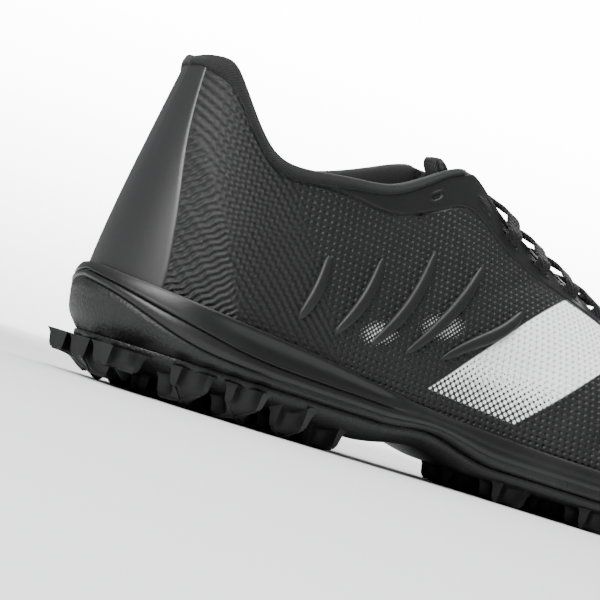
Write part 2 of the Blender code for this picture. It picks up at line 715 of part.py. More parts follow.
def make_eyestay():
    """The smooth strip around the throat, which carries the eyelets."""
    first = CORNER_STATION - 2
    places = stations(first, 2 * STATIONS - first)
    from_heel = 1 - np.abs(1 - places)
    beside_collar = from_heel <= CORNER_STATION / STATIONS
    top = np.where(beside_collar, BINDING_DEPTH + 3 * FIT, 3 * FIT)
    rows = []
    for share_down in (1.0, 0.5, 0.0):
        share = share_below_edge(places, top + (EYESTAY_DEPTH - top) * share_down)
        rows.append(off_skin(places, share, np.full(len(places), FIT + EYESTAY_THICKNESS)))
    return sheet("eyestay", np.array(rows), EYESTAY_THICKNESS, "eyestay")


def moved_row(row, run, narrowing, rise):
    """A copy of a row of points, moved along the shoe, narrowed about its middle and lifted."""
    moved = row.copy()
    middle = moved[:, 1].mean()
    crest = moved[:, 2].max()
    moved[:, 0] += run
    moved[:, 1] = middle + (moved[:, 1] - middle) * narrowing
    moved[:, 2] = crest + (moved[:, 2] - crest) * narrowing + rise
    return moved


def make_tongue():
    """The tongue lies under both edges of the throat and runs on under the vamp."""
    share = upper_shares()[-2:]
    depth = -WALL - TONGUE_GAP * np.array([1.6, 1.0])
    rows = []
    for place in stations(CORNER_STATION + 1, TONGUE_STATION):
        outer = off_skin(place, share, depth)
        inner = off_skin(2 - place, share, depth)[::-1]
        bridge = []
        crown = TONGUE_CROWN * ((inner[0] - outer[-1])[1] / THROAT_WIDTH) ** 2
        for t in (0.25, 0.5, 0.75):
            point = outer[-1] * (1 - t) + inner[0] * t
            point[2] += crown * 4 * t * (1 - t)
            bridge.append(point)
        rows.append(np.concatenate([outer, bridge, inner]))
    tip = [moved_row(rows[0], -run * TONGUE_TOP, width, rise * TONGUE_TOP) for run, width, rise in TONGUE_TIP]
    front = moved_row(rows[-1], TONGUE_RUN, 0.60, -TONGUE_FALL)
    rows = tip + rows + [front]
    return sheet("tongue", np.array(rows)[:, ::-1], TONGUE_THICKNESS, "lining")


def make_side_rib(name, row, side):
    """A raised rib on the upper's side, along a gently bowed line."""
    ts = np.linspace(0, 1, SIDE_RIB_STEPS + 1)
    along = row.low_along + (row.high_along - row.low_along) * ts + row.bow * np.sin(math.pi * ts)
    places = turn_at(along) / math.pi
    if side > 0:
        places = 2 - places
    shares = row.low_share + (row.high_share - row.low_share) * ts
    centre = skin(places, shares)
    normal = skin_normal(places, shares)
    tangent = np.gradient(centre, axis=0)
    across = np.cross(normal, tangent)
    across /= np.linalg.norm(across, axis=1, keepdims=True)
    taper = np.sin(np.linspace(0.28, math.pi - 0.28, len(ts)))[:, None] ** 0.5
    half = RIB_WIDTH / 2 * taper
    low, high = normal * 2 * FIT, normal * (2 * FIT + RIB_HEIGHT)
    sides = [centre - across * half + low, centre - across * half * 0.62 + high,
             centre + across * half * 0.62 + high, centre + across * half + low]
    return sweep(name, sides, "eyestay")


def sweep(name, sides, colour):
    """A bar whose corners run along the given lines, closed at both ends."""
    size, count = len(sides), len(sides[0])
    verts = np.stack(sides, 1).reshape(-1, 3)
    faces = [list(range(size)), [(count - 1) * size + k for k in range(size)][::-1]]
    for i in range(count - 1):
        for k in range(size):
            a, b, m = i * size, (i + 1) * size, (k + 1) % size
            faces.append([a + k, a + m, b + m, b + k])
    return mesh_object(name, verts, faces, colour)


def lace_end(place, depth, lift):
    share = share_below_edge([place], depth)
    return off_skin(np.array([place]), share, np.array([lift]))[0]


def band(name, start_place, end_place, sunk):
    """A flat lace from an eyelet over the throat to the far edge, or to the far eyelet."""
    top = FIT * 4 + EYESTAY_THICKNESS + LACE_THICKNESS / 2
    under = 3 * FIT + LACE_THICKNESS / 2
    points = [lace_end(start_place, EYELET_INSET, top), lace_end(start_place, LACE_REST, top),
              lace_end(start_place, 0.0, top)]
    if sunk:
        far = [lace_end(end_place, 0.0, under)]
    else:
        far = [lace_end(end_place, 0.0, top), lace_end(end_place, LACE_REST, top),
               lace_end(end_place, EYELET_INSET, top)]
    near = points[-1]
    bridge = []
    limit = LACE_TUCK if sunk else 1.0
    for t in (0.25, 0.5, 0.75):
        point = near * (1 - t * limit) + far[0] * t * limit
        point[2] += LACE_CROWN * 4 * t * (1 - t)
        bridge.append(point)
    if sunk:
        points += bridge + [near * (1 - limit) + far[0] * limit]
    else:
        points += bridge + far
    line = np.array(points)
    tangent = np.gradient(line, axis=0)
    tangent /= np.linalg.norm(tangent, axis=1, keepdims=True)
    along = np.array(LACE_LEAN)
    across = along - tangent * (tangent @ along)[:, None]
    across /= np.linalg.norm(across, axis=1, keepdims=True)
    face = np.cross(tangent, across)
    half = LACE_WIDTH / 2
    thick = LACE_THICKNESS / 2
    sides = [line - across * half - face * thick, line + across * half - face * thick,
             line + across * half + face * thick, line - across * half + face * thick]
    return sweep(name, sides, "lace")


def around_eyelet(k):
    """The place around the shoe of an eyelet row, from its place along the opening's edge."""
    steps = np.linspace(0.30, 0.75, 300)
    edge = skin(steps, 1.0)[:, 0] / LENGTH
    return float(np.interp(EYELET_PLACES[k], edge, steps))


def make_laces():
    last = len(EYELET_PLACES) - 1
    for k in range(2, len(EYELET_PLACES)):
        near = around_eyelet(k)
        far = around_eyelet(k - 1)
        left = band("lace_cross_%d" % (k - 1), near, 2 - far, True)
        right = band("lace_half_%d" % (k - 1), 2 - near, far, True)
        join(left, right)
    place = around_eyelet(last) + BAR_AHEAD
    band("lace_bar", place, 2 - place, False)


def join(body, other):
    """Fuses another piece into a body with a union, and keeps that piece as a cutter."""
    shoe.objects.unlink(other)
    cutters.objects.link(other)
    other.hide_render = True
    other.display_type = "WIRE"
    union = body.modifiers.new("Join", "BOOLEAN")
    union.operation = "UNION"
    union.solver = "EXACT"
    union.object = other


for old in list(bpy.data.objects):
    bpy.data.objects.remove(old)

shoe = bpy.data.collections.new("turf_shoe")
cutters = bpy.data.collections.new("cutters")
bpy.context.scene.collection.children.link(shoe)
bpy.context.scene.collection.children.link(cutters)
frame = bpy.data.objects.new("frame", None)
shoe.objects.link(frame)

make_outsole()
make_midsole()
make_insole()
make_upper()
make_counter()
make_binding()
make_eyestay()
make_tongue()
for number, row in enumerate(SIDE_RIBS, 1):
    make_side_rib("outer_rib_%d" % number, row, -1)
    make_side_rib("inner_rib_%d" % number, row, 1)
make_laces()

# The frame moves so that the origin is under the middle of the whole shoe.
bpy.context.view_layer.update()
corners = [thing.matrix_world @ Vector(corner) for thing in shoe.objects if thing.type == "MESH"
           for corner in thing.evaluated_get(bpy.context.evaluated_depsgraph_get()).bound_box]
middle = [(min(c[k] for c in corners) + max(c[k] for c in corners)) / 2 for k in range(2)]
frame.location = (-middle[0], -middle[1], 0)
bpy.context.view_layer.update()
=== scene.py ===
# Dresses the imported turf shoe: fine surfaces, relief, cloth, rubber, laces, studio and camera.
# Lengths are in metres. Shoe coordinates start at the back of the heel: x to the toe, y to the inner side, z up.
import math

import bmesh
import bpy
import numpy as np
from mathutils import Matrix, Vector


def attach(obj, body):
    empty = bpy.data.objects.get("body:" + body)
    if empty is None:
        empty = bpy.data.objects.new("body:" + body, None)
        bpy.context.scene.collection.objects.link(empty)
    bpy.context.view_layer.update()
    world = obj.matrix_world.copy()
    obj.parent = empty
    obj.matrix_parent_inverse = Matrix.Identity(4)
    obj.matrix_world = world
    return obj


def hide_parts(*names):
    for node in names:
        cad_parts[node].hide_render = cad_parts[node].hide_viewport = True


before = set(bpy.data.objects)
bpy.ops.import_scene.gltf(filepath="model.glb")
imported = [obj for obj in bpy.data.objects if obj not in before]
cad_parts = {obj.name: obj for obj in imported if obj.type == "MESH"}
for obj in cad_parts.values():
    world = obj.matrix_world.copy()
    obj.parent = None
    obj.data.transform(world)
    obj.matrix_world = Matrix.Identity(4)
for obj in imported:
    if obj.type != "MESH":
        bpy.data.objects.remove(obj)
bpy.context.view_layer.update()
print("frame loaded:", len(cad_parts), "nodes")

# ---- the last: the named sizes that every piece follows
last = {
    "length": 0.288, "heelWidth": 0.073, "waistWidth": 0.062, "ballWidth": 0.101,
    "heelTuck": 0.0045, "toeTuck": 0.004,
    "lugHeight": 0.0058, "plateThickness": 0.0022, "heelStack": 0.0215, "ballStack": 0.0132,
    "heelLip": 0.012, "toeSpring": 0.013, "springStart": 0.218,
    "archRise": 0.003, "archStart": 0.090, "archEnd": 0.139, "edgeRoll": 0.0052, "rollWidth": 0.012,
    "wall": 0.0020, "tabHeight": 0.1018, "ankleHeight": 0.0774, "instepHeight": 0.0977,
    "vampHeight": 0.0670, "collarWidth": 0.056, "throatWidth": 0.030, "throatShift": 0.004,
    "lipThickness": 0.0016, "lipSetback": 0.0009, "fit": 0.0003,
    "shiftX": -0.144, "shiftY": 0.000867,
}
length = last["length"]

# along, rim outer, rim inner, base outer, base inner: half widths as shares of heel, waist or ball width
soleRows = [
    ("heel", 0.000, 0.000, 0.000, 0.000, 0.000), ("heel", 0.028, 0.300, 0.315, 0.250, 0.265),
    ("heel", 0.083, 0.466, 0.486, 0.425, 0.448), ("heel", 0.167, 0.507, 0.530, 0.479, 0.515),
    ("heel", 0.271, 0.493, 0.486, 0.466, 0.456), ("waist", 0.365, 0.556, 0.478, 0.500, 0.400),
    ("waist", 0.434, 0.548, 0.425, 0.484, 0.322), ("waist", 0.503, 0.597, 0.460, 0.565, 0.372),
    ("ball", 0.573, 0.431, 0.371, 0.421, 0.327), ("ball", 0.642, 0.480, 0.440, 0.465, 0.411),
    ("ball", 0.712, 0.505, 0.485, 0.485, 0.460), ("ball", 0.781, 0.495, 0.480, 0.475, 0.455),
    ("ball", 0.851, 0.450, 0.446, 0.430, 0.416), ("ball", 0.910, 0.361, 0.376, 0.340, 0.352),
    ("ball", 0.962, 0.228, 0.277, 0.210, 0.257), ("ball", 1.000, -0.060, 0.060, -0.060, 0.060),
]
# along, stack, lip, upper line, lower line
heightRows = [
    (0.000, 1.00, 1.00, 0.86, 0.740), (0.024, 1.00, 0.87, 0.76, 0.600), (0.049, 1.00, 0.80, 0.67, 0.440),
    (0.094, 0.97, 0.71, 0.55, 0.250), (0.139, 0.92, 0.65, 0.45, 0.200), (0.229, 0.80, 0.56, 0.42, 0.180),
    (0.300, 0.66, 0.47, 0.48, 0.200), (0.365, 0.51, 0.41, 0.56, 0.230), (0.434, 0.36, 0.42, 0.60, 0.260),
    (0.521, 0.18, 0.46, 0.60, 0.280), (0.600, 0.06, 0.50, 0.60, 0.300), (0.694, 0.00, 0.52, 0.58, 0.300),
    (0.800, 0.00, 0.53, 0.57, 0.300), (0.900, 0.00, 0.53, 0.57, 0.300), (1.000, 0.00, 0.54, 0.57, 0.300),
]
# follows, along, edge along, edge half width, edge height, then swell, rise, reach and drop of the outer
# side and of the inner side
ribRows = [
    ("tab", 0.000, 0.0427, 0.000, 0.990, -0.012, 0.33, 0.36, 0.33, -0.012, 0.33, 0.36, 0.33, 0.990),
    ("tab", 0.028, 0.0550, 0.205, 1.000, -0.012, 0.33, 0.36, 0.33, -0.012, 0.33, 0.36, 0.33, 1.000),
    ("tab", 0.052, 0.0677, 0.286, 0.980, -0.012, 0.33, 0.36, 0.33, -0.012, 0.33, 0.36, 0.33, 0.980),
    ("tab", 0.083, 0.0885, 0.375, 0.888, 0.004, 0.33, 0.46, 0.33, 0.004, 0.33, 0.46, 0.33, 0.895),
    ("ankle", 0.118, 0.1160, 0.452, 1.036, 0.020, 0.33, 0.55, 0.33, 0.020, 0.33, 0.55, 0.33, 1.065),
    ("ankle", 0.167, 0.1560, 0.492, 1.000, 0.020, 0.34, 0.50, 0.33, 0.020, 0.34, 0.50, 0.33, 1.035),
    ("ankle", 0.229, 0.2150, 0.498, 1.035, 0.020, 0.34, 0.50, 0.33, 0.024, 0.36, 0.50, 0.33, 1.065),
    ("ankle", 0.292, 0.2740, 0.452, 1.082, 0.020, 0.35, 0.52, 0.33, 0.036, 0.38, 0.52, 0.33, 1.105),
    ("instep", 0.347, 0.3300, 0.660, 0.945, 0.022, 0.36, 0.56, 0.33, 0.048, 0.40, 0.56, 0.32, 0.950),
    ("instep", 0.396, 0.3770, 0.527, 0.999, 0.024, 0.38, 0.60, 0.32, 0.056, 0.42, 0.60, 0.30, 0.999),
    ("instep", 0.451, 0.4270, 0.467, 0.937, 0.026, 0.39, 0.60, 0.30, 0.058, 0.44, 0.62, 0.28, 0.937),
    ("instep", 0.521, 0.4900, 0.450, 0.850, 0.028, 0.40, 0.60, 0.27, 0.052, 0.46, 0.64, 0.24, 0.850),
    ("vamp", 0.590, 0.5520, 0.433, 1.150, 0.030, 0.42, 0.58, 0.22, 0.044, 0.47, 0.64, 0.20, 1.150),
    ("vamp", 0.660, 0.6080, 0.400, 1.072, 0.030, 0.42, 0.56, 0.20, 0.036, 0.47, 0.62, 0.18, 1.072),
    ("vamp", 0.736, 0.6460, 0.283, 1.024, 0.028, 0.41, 0.54, 0.21, 0.030, 0.45, 0.58, 0.19, 1.024),
    ("vamp", 0.816, 0.6600, 0.160, 1.008, 0.026, 0.43, 0.54, 0.22, 0.026, 0.45, 0.56, 0.20, 1.008),
    ("vamp", 0.910, 0.6655, 0.055, 1.001, 0.026, 0.43, 0.55, 0.24, 0.026, 0.44, 0.56, 0.23, 1.001),
    ("vamp", 1.000, 0.6667, 0.000, 1.000, 0.024, 0.42, 0.56, 0.26, 0.024, 0.42, 0.56, 0.26, 1.000),
]
soleWidths = {"heel": last["heelWidth"], "waist": last["waistWidth"], "ball": last["ballWidth"]}
edgeWidths = {"tab": last["collarWidth"], "ankle": last["collarWidth"],
              "instep": last["throatWidth"], "vamp": last["throatWidth"]}
edgeHeights = {"tab": last["tabHeight"], "ankle": last["ankleHeight"],
               "instep": last["instepHeight"], "vamp": last["vampHeight"]}


def spline(knots, values, at):
    # natural cubic through the knots
    knots, values = np.asarray(knots, float), np.asarray(values, float)
    gap = np.diff(knots)
    slope = np.diff(values) / gap
    count = len(knots)
    matrix, bend = np.eye(count), np.zeros(count)
    for i in range(1, count - 1):
        matrix[i, i - 1:i + 2] = gap[i - 1], 2 * (gap[i - 1] + gap[i]), gap[i]
        bend[i] = 6 * (slope[i] - slope[i - 1])
    bend = np.linalg.solve(matrix, bend)
    at = np.clip(np.asarray(at, float), knots[0], knots[-1])
    i = np.clip(np.searchsorted(knots, at, side="right") - 1, 0, count - 2)
    right = (at - knots[i]) / gap[i]
    left = 1 - right
    curve = (left ** 3 - left) * bend[i] + (right ** 3 - right) * bend[i + 1]
    return left * values[i] + right * values[i + 1] + curve * gap[i] ** 2 / 6


def turnAt(along):
    return np.arccos(1 - 2 * np.clip(np.asarray(along, float), 0, 1))


def alongAt(turn):
    return (1 - np.cos(turn)) / 2


def smoothStep(low, high, value):
    share = np.clip((np.asarray(value, float) - low) / (high - low), 0, 1)
    return share * share * (3 - 2 * share)


def fold(place):
    place = np.mod(np.asarray(place, float), 2)
    outer = place <= 1
    return np.where(outer, place, 2 - place) * math.pi, outer


def soleColumn(index, turn):
    values = [row[index] * soleWidths[row[0]] for row in soleRows]
    return spline(turnAt([row[1] for row in soleRows]), values, turn)


def heightColumn(index, x):
    turn = turnAt(np.clip(x / length, 0, 1))
    return spline(turnAt([row[0] for row in heightRows]), [row[index] for row in heightRows], turn)


def plan(place, level):
    # the sole's outline from above, at the rim or the base
    turn, outer = fold(place)
    first = 2 if level == "rim" else 4
    x = alongAt(turn) * length
    if level == "base":
        x = last["heelTuck"] + alongAt(turn) * (length - last["heelTuck"] - last["toeTuck"])
    return np.stack([x, np.where(outer, -soleColumn(first, turn), soleColumn(first + 1, turn))], -1)


def planNormal(place, level):
    step = 0.002
    tangent = plan(np.asarray(place) + step, level) - plan(np.asarray(place) - step, level)
    normal = np.stack([tangent[..., 1], -tangent[..., 0]], -1)
    return normal / np.linalg.norm(normal, axis=-1, keepdims=True)


def spring(x):
    run = np.clip((x - last["springStart"]) / (length - last["springStart"]), 0, 1)
    return last["toeSpring"] * run ** 1.8


def underside(x):
    run = np.clip((x - last["archStart"]) / (last["archEnd"] - last["archStart"]), 0, 1)
    return last["lugHeight"] + spring(x) + last["archRise"] * np.sin(math.pi * run) ** 2


def roll(distance, x):
    share = np.clip(1 - distance / last["rollWidth"], 0, 1)
    amount = 1 - 0.62 * smoothStep(0.30 * length, 0.50 * length, x)
    return last["edgeRoll"] * amount * share ** 1.9


def bed(x):
    rise = last["heelStack"] - last["ballStack"]
    return last["ballStack"] + rise * heightColumn(1, x) + spring(x)


def lipTop(x):
    return bed(x) + last["heelLip"] * heightColumn(2, x)


def ribEnds(place):
    turn, outer = fold(place)
    at = turnAt([row[1] for row in ribRows])

    def both(outerIndex, innerIndex, sizes=None):
        found = []
        for index in (outerIndex, innerIndex):
            values = [row[index] * (sizes[row[0]] if sizes else 1) for row in ribRows]
            found.append(spline(at, values, turn))
        return np.where(outer, found[0], found[1])

    swell = both(5, 9) * last["heelWidth"]
    rise = both(6, 10)
    edgeAlong = both(2, 2)
    half = both(3, 3, edgeWidths)
    shift = last["throatShift"] * np.clip((edgeAlong - 0.38) / 0.286, 0, 1)
    y = np.where(outer, -half, half) + shift
    edge = np.stack([edgeAlong * length, y, both(4, 13, edgeHeights)], -1)
    rim = plan(place, "rim")
    floor = bed(rim[..., 0])
    lean = (lipTop(rim[..., 0]) - floor) * swell / (rise * (edge[..., 2] - floor))
    inset = last["lipSetback"] + last["lipThickness"] + last["fit"] + np.clip(lean, 0, None)
    flat = rim - planNormal(place, "rim") * inset[..., None]
    foot = np.concatenate([flat, (bed(flat[..., 0]) + last["fit"])[..., None]], -1)
    return foot, edge, swell, rise, both(7, 11), both(8, 12)


def skin(place, share):
    # the upper's outer face: place 0 to 2 round the shoe from the heel over the outer side, share 0 at the
    # sole to 1 at the opening
    place, share = np.broadcast_arrays(np.asarray(place, float), np.asarray(share, float))
    foot, edge, swell, rise, reach, drop = ribEnds(place)
    run = foot - edge
    run[..., 2] = 0
    runLength = np.linalg.norm(run, axis=-1, keepdims=True)
    out = run / runLength
    height = (edge - foot)[..., 2:]
    up = np.array([0, 0, 1.0])
    low = foot + up * rise[..., None] * height + out * swell[..., None]
    high = edge + out * reach[..., None] * runLength - up * drop[..., None] * height
    t = share[..., None]
    return (1 - t) ** 3 * foot + 3 * (1 - t) ** 2 * t * low + 3 * (1 - t) * t ** 2 * high + t ** 3 * edge


def skinNormal(place, share):
    step = 0.004
    place, share = np.broadcast_arrays(np.asarray(place, float), np.asarray(share, float))
    around = skin(place + step, share) - skin(place - step, share)
    upward = skin(place, np.clip(share + step, 0, 1)) - skin(place, np.clip(share - step, 0, 1))
    normal = np.cross(around, upward)
    return normal / np.linalg.norm(normal, axis=-1, keepdims=True)


def offSkin(place, share, distance):
    return skin(place, share) + skinNormal(place, share) * np.asarray(distance, float)[..., None]


ribSteps = np.linspace(0, 1, 90)


def ribLengths(place):
    # arc length up each rib, at ribSteps
    curve = skin(np.asarray(place, float)[:, None], ribSteps[None, :])
    pieces = np.linalg.norm(np.diff(curve, axis=1), axis=2)
    return np.concatenate([np.zeros((len(pieces), 1)), np.cumsum(pieces, axis=1)], axis=1)


def shareBelowEdge(place, depth):
    place = np.atleast_1d(np.asarray(place, float))
    lengths = ribLengths(place)
    depth = np.broadcast_to(depth, place.shape)
    return np.array([np.interp(row[-1] - d, row, ribSteps) for row, d in zip(lengths, depth)])


def shareAtHeight(place, height):
    place = np.atleast_1d(np.asarray(place, float))
    z = skin(place[:, None], ribSteps[None, :])[..., 2]
    height = np.broadcast_to(height, place.shape)
    return np.array([np.interp(h, row, ribSteps) for row, h in zip(z, height)])


def placeOfAlong(along):
    return turnAt(along) / math.pi


# place from the heel, then depth of the collar's seam below the opening
collarSeam = [
    (0.0, 0.0020), (0.05, 0.0022), (0.10, 0.0040), (0.15, 0.0054), (0.22, 0.0036), (0.30, 0.0028), (0.38, 0.0026), (0.44, 0.0012),
]
stripDepth = 0.0118


def collarDepth(place):
    fromHeel = 1 - np.abs(1 - np.mod(np.asarray(place, float), 2))
    found = np.interp(fromHeel, [row[0] for row in collarSeam], [row[1] for row in collarSeam])
    near = [np.interp(np.abs(fromHeel + step), [row[0] for row in collarSeam], [row[1] for row in collarSeam])
            for step in (-0.03, -0.015, 0.015, 0.03)]
    return (found + sum(near)) / 5


def stripLow(place):
    # lower border of the strip round the throat, which grows out of the collar's seam
    fromHeel = 1 - np.abs(1 - np.mod(np.asarray(place, float), 2))
    share = smoothStep(0.275, 0.425, fromHeel)
    return collarDepth(place) * (1 - share) + stripDepth * share


# ---- mesh helpers
def addMesh(name, verts, faces, material, replaces=(), smooth=True, uv=None, masks=None, wrap=0):
    verts = np.asarray(verts, float).reshape(-1, 3) + [last["shiftX"], last["shiftY"], 0]
    mesh = bpy.data.meshes.new(name)
    mesh.from_pydata(verts.tolist(), [], [list(map(int, f)) for f in faces])
    body = bmesh.new()
    body.from_mesh(mesh)
    bmesh.ops.recalc_face_normals(body, faces=body.faces)
    body.to_mesh(mesh)
    body.free()
    if uv is not None:
        layer = mesh.uv_layers.new(name="UVMap")
        corner = np.zeros(len(mesh.loops), np.int32)
        mesh.loops.foreach_get("vertex_index", corner)
        flat = np.array(uv, np.float32).reshape(-1, 2)[corner]
        if wrap:
            # the face that closes the ring reads on from the last column
            quad = flat[:, 0].reshape(-1, 4)
            closing = (quad.max(axis=1) - quad.min(axis=1) > wrap / 2)[:, None] & (quad < wrap / 2)
            flat[:, 0] = np.where(closing, quad + wrap, quad).ravel()
        layer.data.foreach_set("uv", flat.ravel())
    for label, values in (masks or {}).items():
        attribute = mesh.attributes.new(label, "FLOAT", "POINT")
        attribute.data.foreach_set("value", np.asarray(values, np.float32).ravel())
    mesh.materials.append(material)
    if smooth:
        mesh.shade_smooth()
    piece = bpy.data.objects.new(name, mesh)
    bpy.context.scene.collection.objects.link(piece)
    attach(piece, "root")
    if replaces:
        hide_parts(*replaces)
    return piece


def gridFaces(rows, columns, closed=False, start=0):
    r, c = np.meshgrid(np.arange(rows - 1), np.arange(columns if closed else columns - 1), indexing="ij")
    d = (c + 1) % columns
    quads = np.stack([r * columns + c, r * columns + d, (r + 1) * columns + d, (r + 1) * columns + c], -1)
    return (quads.reshape(-1, 4) + start).tolist()


def spanFaces(start, count, up):
    # faces across a closed ring from its outer to its inner half
    faces = []
    for i in range(count):
        loop = [start + i, start + i + 1, start + 2 * count - i - 1, start + (2 * count - i) % (2 * count)]
        loop = [v for k, v in enumerate(loop) if v not in loop[:k]]
        faces.append(loop if up else loop[::-1])
    return faces


def subdivide(piece, levels):
    modifier = piece.modifiers.new("Smooth", "SUBSURF")
    modifier.levels = levels
    modifier.render_levels = levels


# ---- material helpers
def newMaterial(name, colour, roughness, specular=0.5, coat=0.0, coatRoughness=0.3, sheen=0.0):
    made = bpy.data.materials.new(name)
    made.use_nodes = True
    shader = made.node_tree.nodes["Principled BSDF"]
    shader.inputs["Base Color"].default_value = (*colour, 1)
    shader.inputs["Roughness"].default_value = roughness
    shader.inputs["Specular IOR Level"].default_value = specular
    shader.inputs["Coat Weight"].default_value = coat
    shader.inputs["Coat Roughness"].default_value = coatRoughness
    shader.inputs["Sheen Weight"].default_value = sheen
    return made, made.node_tree, shader


def put(tree, socket, value):
    if isinstance(value, bpy.types.NodeSocket):
        tree.links.new(value, socket)
    else:
        socket.default_value = value


def maths(tree, operation, first, second=None, third=None, clamp=False):
    node = tree.nodes.new("ShaderNodeMath")
    node.operation = operation
    node.use_clamp = clamp
    put(tree, node.inputs[0], first)
    if second is not None:
        put(tree, node.inputs[1], second)
    if third is not None:
        put(tree, node.inputs[2], third)
    return node.outputs[0]


def ramp(tree, value, low, high, outLow=0.0, outHigh=1.0):
    node = tree.nodes.new("ShaderNodeMapRange")
    node.interpolation_type = "SMOOTHSTEP"
    put(tree, node.inputs["Value"], value)
    for label, number in (("From Min", low), ("From Max", high), ("To Min", outLow), ("To Max", outHigh)):
        put(tree, node.inputs[label], number)
    return node.outputs[0]


def mixColour(tree, factor, first, second):
    node = tree.nodes.new("ShaderNodeMix")
    node.data_type = "RGBA"
    put(tree, node.inputs[0], factor)
    put(tree, node.inputs[6], first if isinstance(first, bpy.types.NodeSocket) else (*first, 1))
    put(tree, node.inputs[7], second if isinstance(second, bpy.types.NodeSocket) else (*second, 1))
    return node.outputs[2]


def mixValue(tree, factor, first, second):
    node = tree.nodes.new("ShaderNodeMix")
    put(tree, node.inputs[0], factor)
    put(tree, node.inputs[2], first)
    put(tree, node.inputs[3], second)
    return node.outputs[0]


def readMask(tree, label):
    node = tree.nodes.new("ShaderNodeAttribute")
    node.attribute_name = label
    return node.outputs["Fac"]


def flatPlace(tree):
    # the piece's own flat coordinates, in metres
    node = tree.nodes.new("ShaderNodeUVMap")
    node.uv_map = "UVMap"
    split = tree.nodes.new("ShaderNodeSeparateXYZ")
    tree.links.new(node.outputs[0], split.inputs[0])
    return split.outputs[0], split.outputs[1], node.outputs[0]


def solidPlace(tree):
    return tree.nodes.new("ShaderNodeTexCoord").outputs["Object"]


def bumpFrom(tree, shader, height, distance, strength=1.0):
    node = tree.nodes.new("ShaderNodeBump")
    node.inputs["Strength"].default_value = strength
    node.inputs["Distance"].default_value = distance
    tree.links.new(height, node.inputs["Height"])
    tree.links.new(node.outputs[0], shader.inputs["Normal"])


def noise(tree, place, scale, detail=2.0, roughness=0.5, distortion=0.0):
    node = tree.nodes.new("ShaderNodeTexNoise")
    tree.links.new(place, node.inputs["Vector"])
    for label, number in (("Scale", scale), ("Detail", detail), ("Roughness", roughness), ("Distortion", distortion)):
        put(tree, node.inputs[label], number)
    return node.outputs["Fac"]


def waves(tree, along, across, pitch, slant):
    # -1 to 1, ridges pitch apart whose lines lean by slant radians from the first axis
    first = maths(tree, "MULTIPLY", along, math.sin(slant) * 2 * math.pi / pitch)
    second = maths(tree, "MULTIPLY", across, math.cos(slant) * 2 * math.pi / pitch)
    return maths(tree, "SINE", maths(tree, "SUBTRACT", second, first))


def newGroup(name, inputs, outputs):
    group = bpy.data.node_groups.new(name, "ShaderNodeTree")
    for label, kind, default in inputs:
        socket = group.interface.new_socket(name=label, in_out="INPUT", socket_type=kind)
        if default is not None:
            socket.default_value = default
    for label, kind in outputs:
        group.interface.new_socket(name=label, in_out="OUTPUT", socket_type=kind)
    return group, group.nodes.new("NodeGroupInput"), group.nodes.new("NodeGroupOutput")


def useGroup(tree, group, **values):
    node = tree.nodes.new("ShaderNodeGroup")
    node.node_tree = group
    for label, value in values.items():
        put(tree, node.inputs[label], value)
    return node


# ---- shared effects
def makeGrain():
    # fine moulded or leather grain, with a slow change of tone
    group, given, result = newGroup(
        "softGrain", [("Place", "NodeSocketVector", None), ("Scale", "NodeSocketFloat", 900.0)],
        [("Height", "NodeSocketFloat"), ("Tone", "NodeSocketFloat")])
    fine = noise(group, given.outputs["Place"], given.outputs["Scale"], 3.0, 0.6)
    slow = noise(group, given.outputs["Place"], 35.0, 3.0, 0.55)
    group.links.new(fine, result.inputs["Height"])
    group.links.new(slow, result.inputs["Tone"])
    return group


def makePebble():
    # small round pebbles pressed into the foam's skin
    group, given, result = newGroup(
        "pebbles", [("Place", "NodeSocketVector", None), ("Scale", "NodeSocketFloat", 900.0)],
        [("Height", "NodeSocketFloat")])
    cells = group.nodes.new("ShaderNodeTexVoronoi")
    cells.feature = "SMOOTH_F1"
    cells.inputs["Smoothness"].default_value = 0.6
    group.links.new(given.outputs["Place"], cells.inputs["Vector"])
    group.links.new(given.outputs["Scale"], cells.inputs["Scale"])
    height = maths(group, "SUBTRACT", 1.0, cells.outputs["Distance"])
    group.links.new(height, result.inputs["Height"])
    return group


def makeWeave():
    # plain weave: two crossed thread waves
    group, given, result = newGroup(
        "weave", [("Along", "NodeSocketFloat", None), ("Across", "NodeSocketFloat", None),
                  ("Pitch", "NodeSocketFloat", 0.0008)],
        [("Height", "NodeSocketFloat")])
    phases = []
    for label in ("Along", "Across"):
        turns = maths(group, "DIVIDE", given.outputs[label], given.outputs["Pitch"])
        phases.append(maths(group, "SINE", maths(group, "MULTIPLY", turns, 2 * math.pi)))
    product = maths(group, "MULTIPLY", phases[0], phases[1])
    group.links.new(maths(group, "MULTIPLY_ADD", product, 0.5, 0.5), result.inputs["Height"])
    return group


def makeHalftone():
    # round dots on a diagonal grid; Cover 0 is bare, 1 is solid
    group, given, result = newGroup(
        "halftone", [("Along", "NodeSocketFloat", None), ("Across", "NodeSocketFloat", None),
                     ("Pitch", "NodeSocketFloat", 0.0021), ("Cover", "NodeSocketFloat", 0.5)],
        [("Mask", "NodeSocketFloat")])
    both = []
    for sign in (1, -1):
        turned = maths(group, "MULTIPLY_ADD", given.outputs["Across"], sign, given.outputs["Along"])
        cell = maths(group, "DIVIDE", turned, given.outputs["Pitch"])
        both.append(maths(group, "SUBTRACT", maths(group, "FRACT", cell), 0.5))
    squares = [maths(group, "MULTIPLY", part, part) for part in both]
    distance = maths(group, "SQRT", maths(group, "ADD", squares[0], squares[1]))
    radius = maths(group, "MULTIPLY", given.outputs["Cover"], 0.76)
    low = maths(group, "SUBTRACT", radius, 0.05)
    high = maths(group, "ADD", radius, 0.05)
    group.links.new(ramp(group, distance, low, high, 1.0, 0.0), result.inputs["Mask"])
    return group


grain, pebble, weave, halftone = makeGrain(), makePebble(), makeWeave(), makeHalftone()
print("shared effects made")


